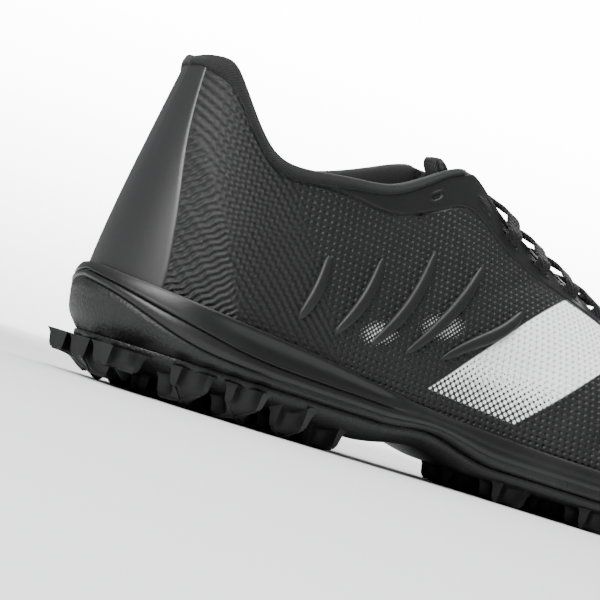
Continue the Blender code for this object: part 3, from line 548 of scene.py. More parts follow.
# ---- upper: one shell with its lining, wide ripples and dimples pressed into the cloth
# seam is the colour of the painted shade in the groove under the collar and along the strip
upper = {
    "columns": 520, "rows": 100, "liningRows": 30, "padDepth": 0.0032, "rimLift": 0.0004,
    "black": (0.0022, 0.0022, 0.0024), "lighterTone": (0.0098, 0.0098, 0.0104), "white": (0.93, 0.935, 0.94),
    "lining": (0.0045, 0.0045, 0.0048), "roughness": 0.66, "seam": (0.0006, 0.0006, 0.0006),
    "bandStart": 0.0972, "bandSlant": 0.965, "bandWidth": 0.0355, "bandFoot": 0.0102, "dotPitch": 0.0024,
}
# side (- outer, + inner, 0 both), then along and rise of both ends, half width and depth: shares of the
# shoe's length, and rise as a share of the tab's height. A depth below nothing is a ridge.
creaseRows = [
    (0, 0.585, 0.10, 0.640, 0.34, 0.012, 0.0026), (0, 0.640, 0.09, 0.690, 0.36, 0.014, 0.0022),
    (0, 0.612, 0.12, 0.664, 0.36, 0.010, -0.0018), (0, 0.540, 0.16, 0.575, 0.34, 0.012, 0.0014),
    (0, 0.300, 0.66, 0.360, 0.44, 0.016, 0.0020), (0, 0.330, 0.70, 0.400, 0.52, 0.014, -0.0014),
    (0, 0.150, 0.62, 0.240, 0.50, 0.016, 0.0018), (0, 0.160, 0.52, 0.250, 0.40, 0.016, -0.0012),
    (0, 0.400, 0.22, 0.520, 0.30, 0.020, 0.0012), (0, 0.430, 0.46, 0.500, 0.60, 0.014, 0.0012),
    (0, 0.700, 0.16, 0.750, 0.40, 0.018, 0.0010), (1, 0.360, 0.30, 0.470, 0.44, 0.022, 0.0016),
]


def upperPlaces(count, rows):
    places = np.arange(count) * 2 / count
    shares = np.linspace(0, 1, rows) ** 0.92
    return places, shares


def creaseRelief(x, rise, side):
    # how far the cloth is pressed in, from the crease table
    relief = np.zeros(np.broadcast(x, rise).shape)
    for row in creaseRows:
        lowX, highX = row[1] * length, row[3] * length
        lowRise, highRise = row[2] * last["tabHeight"], row[4] * last["tabHeight"]
        runX, runRise = highX - lowX, highRise - lowRise
        t = ((x - lowX) * runX + (rise - lowRise) * runRise) / (runX ** 2 + runRise ** 2)
        t = np.clip(t, 0, 1)
        distance = np.hypot(x - lowX - t * runX, rise - lowRise - t * runRise)
        fade = 0.35 + 0.65 * np.sin(math.pi * (0.15 + 0.7 * t))
        depth = row[6] * length * fade * np.exp(-(distance / (row[5] * length * 0.6)) ** 2)
        relief += depth * (1 if row[0] == 0 else (side == row[0]))
    return relief


def riseAlong(points):
    # arc length up each column of a grid
    steps = np.linalg.norm(np.diff(points, axis=0), axis=2)
    return np.concatenate([np.zeros((1, points.shape[1])), np.cumsum(steps, axis=0)])


def makeUpper():
    places, shares = upperPlaces(upper["columns"], upper["rows"])
    grid = skin(places[None, :], shares[:, None])
    normal = skinNormal(places[None, :], shares[:, None])
    rise = riseAlong(grid)
    side = np.where(places <= 1, -1, 1)[None, :]
    middle = grid[len(shares) // 2]
    steps = np.linalg.norm(np.roll(middle, -1, axis=0) - middle, axis=1)
    around = np.concatenate([[0], np.cumsum(steps)])[:-1]
    edgeFade = smoothStep(0.0, 0.012, rise) * smoothStep(0.0, 0.014, rise[-1:] - rise)
    relief = creaseRelief(grid[..., 0], rise, side) * edgeFade
    outside = grid - normal * relief[..., None]

    lining = np.linspace(1, 0.02, upper["liningRows"])
    inner = skin(places[None, :], lining[:, None])
    innerNormal = skinNormal(places[None, :], lining[:, None])
    depth = np.abs(riseAlong(inner))
    fromHeel = 1 - np.abs(1 - places)
    collar = 1 - smoothStep(0.41, 0.45, fromHeel)
    pad = upper["padDepth"] * np.sin(math.pi * np.clip(depth / 0.034, 0, 1)) ** 1.3 * collar[None, :]
    inside = inner - innerNormal * (last["wall"] + pad)[..., None]
    up = np.array([0, 0, 1.0])
    rim = [outside[-1] - normal[-1] * last["wall"] * part + up * upper["rimLift"] * lift
           for part, lift in ((0.15, 0.7), (0.5, 1.0), (0.85, 0.7))]
    rows = np.concatenate([outside, rim, inside])
    count = len(places)
    riseAll = np.concatenate([rise, np.repeat(rise[-1:], 3, axis=0), rise[-1] - depth])
    uv = np.stack([np.broadcast_to(around, riseAll.shape), riseAll], -1)
    insideMask = np.zeros(riseAll.shape)
    insideMask[len(shares) + 1:] = 1
    faces = gridFaces(len(rows), count, closed=True)
    start = (len(rows) - 1) * count
    faces += [[start + c, start + (c + 1) % count, (c + 1) % count, c] for c in range(count)]
    x = rows[..., 0]
    back = 0.0389 - 0.43 * riseAll
    front = 0.0750 - 0.63 * riseAll
    ripple = 1 - smoothStep(back - 0.003, back + 0.003, x)
    ankle = (1 - ripple) * (1 - smoothStep(front - 0.005, front + 0.006, x))
    # depth below the collar's seam, which places the painted seam shade
    seam = np.concatenate([riseAll[len(shares) - 1] - rise - stripLow(places)[None, :],
                           np.full((3 + len(lining), count), -0.01)])
    masks = {"inside": insideMask, "ripple": ripple, "ankle": ankle, "seam": seam * 100}
    return addMesh("upperShell", rows, faces, upperCloth(), ["upper"], uv=uv, masks=masks,
                   wrap=around[-1] + steps[-1])


def upperCloth():
    made, tree, shader = newMaterial("upperCloth", upper["black"], upper["roughness"], 0.34, 0.03, 0.4, 0.02)
    along, rise, flat = flatPlace(tree)
    solid = solidPlace(tree)
    split = tree.nodes.new("ShaderNodeSeparateXYZ")
    tree.links.new(solid, split.inputs[0])
    x = maths(tree, "SUBTRACT", split.outputs[0], last["shiftX"])

    # ripples beside the counter, beaded ridges under the ankle, then dimples to the toe
    drift = noise(tree, solid, 70.0, 1.0)
    wander = maths(tree, "MULTIPLY_ADD", drift, 0.0030, rise)
    sway = maths(tree, "MULTIPLY", waves(tree, x, wander, 0.0052, math.radians(-45)), 0.00028)
    ripple = waves(tree, x, maths(tree, "ADD", wander, sway), 0.00175, math.radians(44))
    broken = maths(tree, "MULTIPLY_ADD", waves(tree, x, wander, 0.0026, math.radians(-46)), 0.28, 0.72)
    ripple = maths(tree, "MULTIPLY", ripple, broken)
    beads = maths(tree, "MULTIPLY_ADD", waves(tree, x, rise, 0.0021, math.radians(49)), 0.34, 0.66)
    beaded = maths(tree, "MULTIPLY", waves(tree, x, wander, 0.0023, math.radians(-41)), beads)
    crossed = maths(tree, "MULTIPLY", waves(tree, x, rise, 0.0030, math.radians(44)),
                    waves(tree, x, rise, 0.0030, math.radians(-38)))
    dimple = maths(tree, "MULTIPLY", maths(tree, "POWER", maths(tree, "MAXIMUM", crossed, 0.0), 1.4), -1.25)
    threads = useGroup(tree, weave, Along=along, Across=rise, Pitch=0.00055).outputs["Height"]
    rippleMask, ankleMask = readMask(tree, "ripple"), readMask(tree, "ankle")
    height = mixValue(tree, rippleMask, dimple, maths(tree, "MULTIPLY", ripple, 0.9))
    height = mixValue(tree, ankleMask, height, maths(tree, "MULTIPLY", beaded, 0.85))
    relief = height
    height = maths(tree, "MULTIPLY_ADD", threads, 0.16, height)
    soft = useGroup(tree, grain, Place=solid, Scale=1500.0)
    height = maths(tree, "MULTIPLY_ADD", soft.outputs["Height"], 0.30, height)

    # the white band: dots by the sole that grow into solid white
    slant = maths(tree, "MULTIPLY_ADD", rise, -upper["bandSlant"], x)
    fromBack = maths(tree, "SUBTRACT", slant, upper["bandStart"])
    inBand = maths(tree, "MULTIPLY", ramp(tree, fromBack, 0.0, 0.0008),
                   ramp(tree, fromBack, upper["bandWidth"], upper["bandWidth"] - 0.0008))
    inBand = maths(tree, "MULTIPLY", inBand, ramp(tree, rise, upper["bandFoot"] - 0.0003, upper["bandFoot"] + 0.0003))
    cover = ramp(tree, rise, upper["bandFoot"] - 0.004, 0.040, 0.46, 1.02)
    dots = useGroup(tree, halftone, Along=x, Across=rise, Pitch=upper["dotPitch"], Cover=cover)
    white = maths(tree, "MULTIPLY", inBand, dots.outputs["Mask"])
    white = maths(tree, "MAXIMUM", white, sidePatches(tree, x, rise))
    outside = maths(tree, "SUBTRACT", 1.0, readMask(tree, "inside"))
    white = maths(tree, "MULTIPLY", white, outside)

    # painted shade along the seam groove under the collar and along the strip, in hundredths of the shoe's units
    gap = maths(tree, "ABSOLUTE", maths(tree, "SUBTRACT", readMask(tree, "seam"), 0.045))
    seam = ramp(tree, gap, 0.022, 0.060, 1.0, 0.0)

    # painted highlight and shade: the colour lightens on the raised ripples, beads and dimple rims and darkens in the
    # pits, mixed with the slow random tone
    shade = maths(tree, "MULTIPLY_ADD", relief, 0.55, soft.outputs["Tone"], clamp=True)
    tone = mixColour(tree, shade, upper["black"], upper["lighterTone"])
    colour = mixColour(tree, white, tone, upper["white"])
    colour = mixColour(tree, seam, colour, upper["seam"])
    colour = mixColour(tree, readMask(tree, "inside"), colour, upper["lining"])
    tree.links.new(colour, shader.inputs["Base Color"])
    rough = mixValue(tree, white, maths(tree, "MULTIPLY_ADD", soft.outputs["Height"], 0.16, 0.40), 0.62)
    tree.links.new(mixValue(tree, readMask(tree, "inside"), rough, 0.88), shader.inputs["Roughness"])
    height = maths(tree, "SUBTRACT", height, maths(tree, "MULTIPLY", seam, 2.5))
    bumpFrom(tree, shader, height, 0.00042)
    return made


# dotted patches between the side ribs: along, rise above the sole, half length, half height
patchRows = [(0.292, 0.020, 0.0075, 0.0055), (0.372, 0.030, 0.0090, 0.0060), (0.452, 0.022, 0.0075, 0.0050)]


def sidePatches(tree, x, rise):
    found = None
    for along, middle, halfLength, halfHeight in patchRows:
        gapX = maths(tree, "DIVIDE", maths(tree, "SUBTRACT", x, along * length), halfLength)
        gapRise = maths(tree, "DIVIDE", maths(tree, "SUBTRACT", rise, middle), halfHeight)
        lean = maths(tree, "MULTIPLY_ADD", gapRise, -0.55, gapX)
        away = maths(tree, "ADD", maths(tree, "MULTIPLY", lean, lean), maths(tree, "MULTIPLY", gapRise, gapRise))
        cover = ramp(tree, away, 0.0, 1.0, 0.46, 0.0)
        dots = useGroup(tree, halftone, Along=x, Across=rise, Pitch=0.0016, Cover=cover).outputs["Mask"]
        found = dots if found is None else maths(tree, "MAXIMUM", found, dots)
    return maths(tree, "MULTIPLY", found, 0.55)


# ---- midsole: foam wall with two lines, a channel between them and pebbled skin
midsole = {
    "columns": 420, "channel": 0.0009, "groove": 0.0011, "step": 0.0006, "bulge": 0.0007,
    "stripEnd": 0.100, "stripFade": 0.012,
    "black": (0.0034, 0.0034, 0.0036), "worn": (0.0074, 0.0074, 0.0078), "roughness": 0.46, "lineHalf": 0.00035,
}


def soleWall(places):
    # heights of the side wall's lines at each place
    x = plan(places, "rim")[:, 0]
    top = lipTop(x)
    low = underside(x) + roll(np.zeros_like(x), x) + last["plateThickness"] + last["fit"]
    wall = top - low
    return x, top, low, low + wall * heightColumn(3, x), low + wall * heightColumn(4, x)


def makeMidsole():
    count = midsole["columns"]
    places = np.arange(count) * 2 / count
    x, top, low, upperLine, lowerLine = soleWall(places)
    rim, base = plan(places, "rim"), plan(places, "base")
    out, baseOut = planNormal(places, "rim"), planNormal(places, "base")
    strip = 1 - smoothStep(midsole["stripEnd"] - midsole["stripFade"], midsole["stripEnd"], x)
    setback, lip = last["lipSetback"], last["lipSetback"] + last["lipThickness"]
    floor = bed((rim - out * lip)[:, 0])
    step, half = midsole["step"], midsole["lineHalf"]
    rows, raised = [], []

    def level(distance, height, grainy=0.0):
        rows.append(np.column_stack([rim + out * np.broadcast_to(distance, x.shape)[:, None], height]))
        raised.append(np.full(count, grainy))

    channelled = strip * smoothStep(0.018, 0.042, x)
    secondLine = 1 - smoothStep(0.036, 0.058, x)
    level(-lip - 0.0006, floor)
    level(-lip - 0.0006, top - 0.0010)
    level(-lip - 0.0004, top - 0.0003)
    level(-(setback + lip) / 2 - 0.0002, top)
    level(-setback - 0.0001, top - 0.0002)
    level(-setback * 0.75, top - 0.0008)
    for t in (0.12, 0.24, 0.36, 0.5, 0.64, 0.78, 0.90):
        sink = midsole["channel"] * 1.25 * channelled * math.sin(math.pi * t) ** 1.1
        level(-setback * 0.75 * (1 - t) ** 2 - sink, top - 0.0008 + (upperLine + step + 0.0008 - top) * t)
    half = midsole["lineHalf"]
    level(0.0001 * strip, upperLine + half * 1.8)
    for part in (1.0, 0.55, 0.0, -0.55, -1.0):
        level(-midsole["groove"] * strip * (1 - abs(part)) ** 0.5, upperLine + half * part)
    for t in (0.06, 0.2, 0.4, 0.6, 0.8, 0.94):
        swell = midsole["bulge"] * 0.5 * math.sin(math.pi * t)
        level(swell, upperLine - half + (lowerLine + 2 * half - upperLine) * t)
    for part in (1.0, 0.55, 0.0, -0.55, -1.0):
        level(-midsole["groove"] * 0.8 * secondLine * (1 - abs(part)) ** 0.5, lowerLine + half * part, 0.5 - part / 2)
    knots = (0.0, 0.30, 0.72, 1.0)
    for blend in (0.10, 0.22, 0.36, 0.50, 0.64, 0.78, 0.90, 1.0):
        height = float(spline(knots, (1.0, 0.52, 0.18, 0.0), blend))
        flat = rim * (1 - blend) + base * blend + out * midsole["bulge"] * math.sin(math.pi * blend)
        rows.append(np.column_stack([flat, low + (lowerLine - half - low) * height]))
        raised.append(np.full(count, 1.0))
    for inset in (0.12, 0.25, 0.42, 0.58, 0.8, 1.0):
        distance = inset * last["rollWidth"]
        flat = base - baseOut * distance
        z = underside(flat[:, 0]) + roll(distance, flat[:, 0]) + last["plateThickness"] + last["fit"]
        rows.append(np.column_stack([flat, z]))
        raised.append(np.zeros(count))
    rows = np.array(rows)
    faces = gridFaces(len(rows), count, closed=True)
    faces += spanFaces(0, count // 2, True)
    faces += spanFaces((len(rows) - 1) * count, count // 2, False)
    piece = addMesh("midsoleWall", rows, faces, foamSkin(), ["midsole"],
                    masks={"pebbled": np.array(raised)})
    return piece


def foamSkin():
    made, tree, shader = newMaterial("foamSkin", midsole["black"], midsole["roughness"], 0.42, 0.05, 0.35)
    solid = solidPlace(tree)
    soft = useGroup(tree, grain, Place=solid, Scale=700.0)
    bumps = useGroup(tree, pebble, Place=solid, Scale=1050.0)
    mask = readMask(tree, "pebbled")
    height = maths(tree, "MULTIPLY", bumps.outputs["Height"], mask)
    height = maths(tree, "MULTIPLY_ADD", soft.outputs["Height"], 0.25, height)
    worn = ramp(tree, soft.outputs["Tone"], 0.42, 0.72)
    colour = mixColour(tree, worn, midsole["black"], midsole["worn"])
    tree.links.new(colour, shader.inputs["Base Color"])
    rough = maths(tree, "MULTIPLY_ADD", mask, 0.14, 0.36)
    tree.links.new(maths(tree, "MULTIPLY_ADD", soft.outputs["Height"], 0.12, rough), shader.inputs["Roughness"])
    bumpFrom(tree, shader, height, 0.00022, 0.8)
    return made


# ---- outsole: rubber plate with curled edge and four-armed lugs
outsole = {
    "columns": 360, "reach": 0.0083, "waist": 0.0034, "end": 0.0009, "draft": 0.0011,
    "pitchX": 0.0185, "pitchY": 0.0152, "slant": 0.004, "foreLug": (0.1435, -0.008), "foreStart": 0.137,
    "margin": 0.0062, "spokeWidth": 0.0008, "spokeRise": 0.0006, "arms": ((35, 0.86), (138, 0.82), (220, 1.0), (292, 0.96)),
    "black": (0.0022, 0.0022, 0.0023), "dusty": (0.0050, 0.0050, 0.0053), "roughness": 0.40,
}
heelLugs = [
    (0.0335, (-0.256, -0.030, 0.200)), (0.1010, (-0.352, -0.110, 0.118, 0.355)),
    (0.1600, (-0.400, -0.175, 0.052, 0.268)), (0.2240, (-0.352, -0.125, 0.135, 0.370)),
    (0.2800, (-0.268, 0.015, 0.262)),
]
edgeLug = (0.1860, 0.425, 0.72)
border = plan(np.linspace(0, 2, 400), "base")


def insideDistance(points):
    # distance in from the outsole's outline, nothing outside it
    points = np.atleast_2d(points)
    x, y = points[:, 0], points[:, 1]
    near = np.min(np.hypot(border[:, 0] - x[:, None], border[:, 1] - y[:, None]), axis=1)
    turn = turnAt((x - last["heelTuck"]) / (length - last["heelTuck"] - last["toeTuck"]))
    inside = (y > -soleColumn(4, turn)) & (y < soleColumn(5, turn))
    inside &= (x > last["heelTuck"]) & (x < length - last["toeTuck"])
    return np.where(inside, near, 0.0)


def lugMiddles():
    found = [(along * length, across * last["heelWidth"], 1.0) for along, row in heelLugs for across in row]
    found.append((edgeLug[0] * length, edgeLug[1] * last["heelWidth"], edgeLug[2]))
    for j in range(-4, 4):
        for i in range(-4, 11):
            x = outsole["foreLug"][0] + (i + j / 2) * outsole["pitchX"]
            y = outsole["foreLug"][1] + i * outsole["slant"] - j * outsole["pitchY"]
            if x > outsole["foreStart"] and insideDistance((x, y))[0] > outsole["margin"]:
                found.append((x, y, 1.0))
    return found


def lugLoop(x, y, size, grow):
    # a star's outline with flat arm ends and hollow sides
    corners, arms = [], outsole["arms"]
    for k, (angle, reach) in enumerate(arms):
        ahead = arms[(k + 1) % len(arms)][0]
        a = math.radians(angle)
        arm, across = np.array([math.cos(a), math.sin(a)]), np.array([-math.sin(a), math.cos(a)])
        end = arm * (outsole["reach"] * reach * size + grow)
        half = outsole["end"] * size + grow * 0.7
        middle = math.radians(angle + ((ahead - angle) % 360) / 2)
        waist = np.array([math.cos(middle), math.sin(middle)]) * (outsole["waist"] * size + grow)
        corners.append((end - across * half, end + across * half, waist))
    points = []
    for k, (first, second, waist) in enumerate(corners):
        following = corners[(k + 1) % len(corners)][0]
        points += [first, (first + second) / 2]
        pull = 2 * waist - (second + following) / 2
        for t in np.linspace(0, 1, 8)[:-1]:
            points.append((1 - t) ** 2 * second + 2 * t * (1 - t) * pull + t * t * following)
    return np.array(points) + [x, y]


def makeLug(x, y, size, verts, faces):
    height = last["lugHeight"]
    levels = ((0.0019, height + 0.0003), (0.0013, height - 0.0004), (0.0008, height - 0.0013),
              (0.0003, 0.0016), (0.0, 0.0011), (-0.0002, 0.0006), (-0.0006, 0.00045))
    start = len(verts)
    for grow, lift in levels:
        flat = lugLoop(x, y, size, grow)
        z = spring(flat[:, 0]) + roll(insideDistance(flat), flat[:, 0]) + lift
        verts.extend(np.column_stack([flat, z]).tolist())
    size0 = len(flat)
    faces.extend(gridFaces(len(levels), size0, closed=True, start=start))
    heart = len(verts)
    middle = roll(insideDistance((x, y)), np.array([x]))[0]
    verts.append([x, y, float(spring(x)) + middle + 0.00045])
    tip = start + (len(levels) - 1) * size0
    faces.extend([[tip + i, tip + (i + 1) % size0, heart] for i in range(size0)])
    for angle, reach in outsole["arms"]:
        a = math.radians(angle)
        arm, across = np.array([math.cos(a), math.sin(a)]), np.array([-math.sin(a), math.cos(a)])
        run = outsole["reach"] * reach * size
        half = outsole["spokeWidth"] / 2 * size
        begin = len(verts)
        for lift, narrow in ((outsole["spokeRise"], 1.0), (0.0, 0.6)):
            for share, sign in ((0.0, -1), (0.5, -1), (0.90, -1), (0.90, 1), (0.5, 1), (0.0, 1)):
                flat = np.array([x, y]) + arm * run * share + across * half * narrow * sign
                z = spring(flat[0]) + roll(insideDistance(flat), flat[:1])[0] + lift
                verts.append([flat[0], flat[1], float(z)])
        for i in range(6):
            j = (i + 1) % 6
            faces.append([begin + i, begin + j, begin + 6 + j, begin + 6 + i])
        faces.append([begin + 6, begin + 7, begin + 10, begin + 11])
        faces.append([begin + 7, begin + 8, begin + 9, begin + 10])


def makeOutsole():
    count = outsole["columns"]
    places = np.arange(count) * 2 / count
    base, out = plan(places, "base"), planNormal(places, "base")
    rows = []
    thick = last["plateThickness"]
    path = [(1.0, thick), (0.6, thick), (0.25, thick), (0.02, thick), (0.0, thick * 0.95), (-0.010, thick * 0.7),
            (-0.006, thick * 0.4), (0.014, thick * 0.14), (0.05, 0.0), (0.12, 0.0), (0.25, 0.0), (0.42, 0.0), (0.6, 0.0), (0.8, 0.0), (1.0, 0.0)]
    for inset, lift in path:
        distance = inset * last["rollWidth"]
        flat = base - out * distance
        z = underside(flat[:, 0]) + roll(max(distance, 0.0), flat[:, 0]) + lift
        rows.append(np.column_stack([flat, z]))
    verts = np.concatenate(rows).tolist()
    faces = gridFaces(len(rows), count, closed=True)
    faces += spanFaces(0, count // 2, True)
    faces += spanFaces((len(rows) - 1) * count, count // 2, False)
    for x, y, size in lugMiddles():
        makeLug(x, y, size, verts, faces)
    pebbled = np.zeros(len(verts))
    for k, (inset, lift) in enumerate(path):
        pebbled[k * count:(k + 1) * count] = 1 - smoothStep(0.05, 0.45, inset)
    piece = addMesh("outsoleTread", verts, faces, rubber(), ["outsole"], masks={"pebbled": pebbled})
    piece.data.set_sharp_from_angle(angle=math.radians(38))
    return piece


def rubber():
    made, tree, shader = newMaterial("blackRubber", outsole["black"], outsole["roughness"], 0.36, 0.04, 0.3)
    solid = solidPlace(tree)
    soft = useGroup(tree, grain, Place=solid, Scale=1200.0)
    dust = ramp(tree, soft.outputs["Tone"], 0.45, 0.75)
    tree.links.new(mixColour(tree, dust, outsole["black"], outsole["dusty"]), shader.inputs["Base Color"])
    rough = maths(tree, "MULTIPLY_ADD", soft.outputs["Height"], 0.18, 0.34)
    tree.links.new(rough, shader.inputs["Roughness"])
    bumps = useGroup(tree, pebble, Place=solid, Scale=1050.0)
    height = maths(tree, "MULTIPLY", maths(tree, "MULTIPLY", bumps.outputs["Height"], 2.2), readMask(tree, "pebbled"))
    bumpFrom(tree, shader, maths(tree, "ADD", height, soft.outputs["Height"]), 0.00009, 0.7)
    return made


# ---- insole: cupped footbed with a knitted cover
insole = {"rows": 150, "columns": 34, "thickness": 0.0035, "cup": 0.0012,
          "grey": (0.0070, 0.0070, 0.0075), "light": (0.0135, 0.0135, 0.0143)}


def makeInsole():
    along = np.linspace(0.012, 0.988, insole["rows"])
    inset = last["lipSetback"] + last["lipThickness"] + last["wall"] + 4 * last["fit"] + 0.0010
    outer = plan(along, "rim") - planNormal(along, "rim") * inset
    inner = plan(2 - along, "rim") - planNormal(2 - along, "rim") * inset
    rows = []
    for c in np.linspace(0, 1, insole["columns"]):
        flat = outer * (1 - c) + inner * c
        z = bed(flat[:, 0]) + last["fit"] + insole["thickness"] - insole["cup"] * math.sin(math.pi * c) ** 0.6
        rows.append(np.column_stack([flat, z]))
    skirt = [row - [0, 0, insole["thickness"] - insole["cup"]] for row in (rows[0], rows[-1])]
    rows = np.array([skirt[0]] + rows + [skirt[1]])
    uv = rows[..., :2]
    return addMesh("footbed", rows, gridFaces(rows.shape[0], rows.shape[1]), footbedCloth(),
                   ["insole"], uv=uv)


def footbedCloth():
    made, tree, shader = newMaterial("footbedCloth", insole["grey"], 0.9, 0.25, 0.0, 0.4, 0.15)
    along, across, flat = flatPlace(tree)
    threads = useGroup(tree, weave, Along=along, Across=across, Pitch=0.0011).outputs["Height"]
    soft = useGroup(tree, grain, Place=solidPlace(tree), Scale=800.0)
    height = maths(tree, "MULTIPLY_ADD", soft.outputs["Height"], 0.5, threads)
    # painted highlight and shade: lighter on the thread crowns, darker between threads, varied by the slow random tone
    colour = mixColour(tree, maths(tree, "MULTIPLY", threads, soft.outputs["Tone"]), insole["grey"], insole["light"])
    tree.links.new(colour, shader.inputs["Base Color"])
    bumpFrom(tree, shader, height, 0.00018)
    return made


# ---- heel counter: smooth moulded overlay, its edges rolled down into the cloth
counter = {"columns": 120, "rows": 110, "thickness": 0.0005, "edge": 0.0016,
           "grey": (0.0105, 0.0105, 0.011), "light": (0.016, 0.016, 0.0166)}
counterEdge = [(0.10, 0.132), (0.40, 0.118), (0.70, 0.092), (1.00, 0.072)]  # share up the heel, half place


def makeCounter():
    across = np.linspace(-1, 1, counter["columns"])
    upward = np.linspace(0, 1, counter["rows"])
    half = spline([row[0] for row in counterEdge], [row[1] for row in counterEdge], upward)
    places = across[None, :] * half[:, None]
    bottom = shareAtHeight(places.ravel(), lipTop(plan(places.ravel(), "rim")[:, 0]) - 0.0015).reshape(places.shape)
    top = shareBelowEdge(places.ravel(), collarDepth(places.ravel()) + 0.0001).reshape(places.shape)
    shares = bottom + (top - bottom) * upward[:, None]
    surface = skin(places, shares)
    sideGap = (1 - np.abs(across))[None, :] * np.linalg.norm(surface[:, :1] - surface[:, -1:], axis=2) / 2
    fromEdge = np.minimum(sideGap, (1 - upward)[:, None] * 0.060)
    swell = counter["thickness"] * np.sqrt(1 - (1 - np.clip(fromEdge / counter["edge"], 0, 1)) ** 2)
    verts = surface + skinNormal(places, shares) * (swell - 0.0002)[..., None]
    return addMesh("heelCounter", verts, gridFaces(*places.shape), counterSkin(), ["heel_counter"])


def counterSkin():
    made, tree, shader = newMaterial("counterSkin", counter["grey"], 0.40, 0.5, 0.12, 0.32)
    solid = solidPlace(tree)
    soft = useGroup(tree, grain, Place=solid, Scale=1700.0)
    tree.links.new(mixColour(tree, soft.outputs["Tone"], counter["grey"], counter["light"]), shader.inputs["Base Color"])
    tree.links.new(maths(tree, "MULTIPLY_ADD", soft.outputs["Height"], 0.14, 0.34), shader.inputs["Roughness"])
    bumpFrom(tree, shader, soft.outputs["Height"], 0.00006, 0.6)
    return made


# ---- collar: padded roll over the ankle edge, sewn down outside and inside
collar = {"columns": 280, "corner": 14 / 32, "black": (0.0042, 0.0042, 0.0045), "lighterTone": (0.0085, 0.0085, 0.009)}
# share of the seam's depth outside, depth inside, distance off the cloth, lift
collarProfile = [
    (1.05, 0, -0.0004, 0), (1.0, 0, 0.0003, 0), (0.93, 0, 0.0007, 0), (0.55, 0, 0.0010, 0), (0.18, 0, 0.0008, 0.0001),
    (0, 0, 0.0004, 0.0005), (0, 0, -0.0006, 0.0009), (0, 0, -0.0018, 0.0010), (0, 0, -0.0030, 0.0008),
    (0, 0.0003, -0.0040, 0.0002), (0, 0.0022, -0.0050, 0), (0, 0.0052, -0.0056, 0), (0, 0.0092, -0.0056, 0),
    (0, 0.0132, -0.0050, 0), (0, 0.0162, -0.0040, 0), (0, 0.0174, -0.0022, 0),
]


def makeCollar():
    places = np.linspace(-collar["corner"], collar["corner"], collar["columns"])
    knots = np.arange(len(collarProfile))
    fine = np.linspace(0, knots[-1], 54)
    outer, inner, distance, lift = (spline(knots, [row[k] for row in collarProfile], fine) for k in range(4))
    depth = np.clip(outer, 0, None)[:, None] * collarDepth(places)[None, :] + np.clip(inner, 0, None)[:, None]
    lengths = ribLengths(places)
    shares = np.array([np.interp(row[-1] - depth[:, i], row, ribSteps) for i, row in enumerate(lengths)]).T
    ends = smoothStep(0, 0.012, collar["corner"] - np.abs(places))
    close = (distance + 0.0010)[:, None] * ends[None, :] - 0.0010
    verts = offSkin(places[None, :], shares, close)
    verts = verts + np.array([0, 0, 1.0]) * (lift[:, None] * ends[None, :])[..., None]
    edge = skin(places, 1.0)
    along = np.concatenate([[0], np.cumsum(np.linalg.norm(np.diff(edge, axis=0), axis=1))])
    middle = verts[:, len(places) // 3]
    girth = np.concatenate([[0], np.cumsum(np.linalg.norm(np.diff(middle, axis=0), axis=1))])
    uv = np.stack(np.broadcast_arrays(along[None, :], girth[:, None]), -1)
    piece = addMesh("collarRoll", verts, gridFaces(*shares.shape), collarCloth(),
                    ["collar_binding"], uv=uv)
    return piece


def collarCloth():
    made, tree, shader = newMaterial("collarCloth", collar["black"], 0.8, 0.3, 0.0, 0.4, 0.08)
    along, across, flat = flatPlace(tree)
    threads = useGroup(tree, weave, Along=along, Across=across, Pitch=0.0009).outputs["Height"]
    soft = useGroup(tree, grain, Place=solidPlace(tree), Scale=900.0)
    height = maths(tree, "MULTIPLY_ADD", soft.outputs["Height"], 0.5, threads)
    tree.links.new(mixColour(tree, soft.outputs["Tone"], collar["black"], collar["lighterTone"]), shader.inputs["Base Color"])
    bumpFrom(tree, shader, height, 0.00016)
    return made


# ---- eyestay: smooth strip round the throat with slots for the lace
eyestay = {"columns": 980, "rows": 46, "first": 0.280, "inset": 0.0068, "thickness": 0.0006,
           "slotWidth": 0.0019, "recess": 0.0014, "rim": 0.0003,
           "grey": (0.0040, 0.0040, 0.0043), "light": (0.0082, 0.0082, 0.0086)}
eyeletAlong = (0.330, 0.4045, 0.452, 0.502, 0.552, 0.602)
slotLengths = (0.0046, 0.0066, 0.0066, 0.0066, 0.0066, 0.0066)


def aroundEyelet(along):
    steps = np.linspace(0.30, 0.75, 300)
    return float(np.interp(along, skin(steps, 1.0)[:, 0] / length, steps))


eyeletPlaces = [aroundEyelet(along) for along in eyeletAlong]


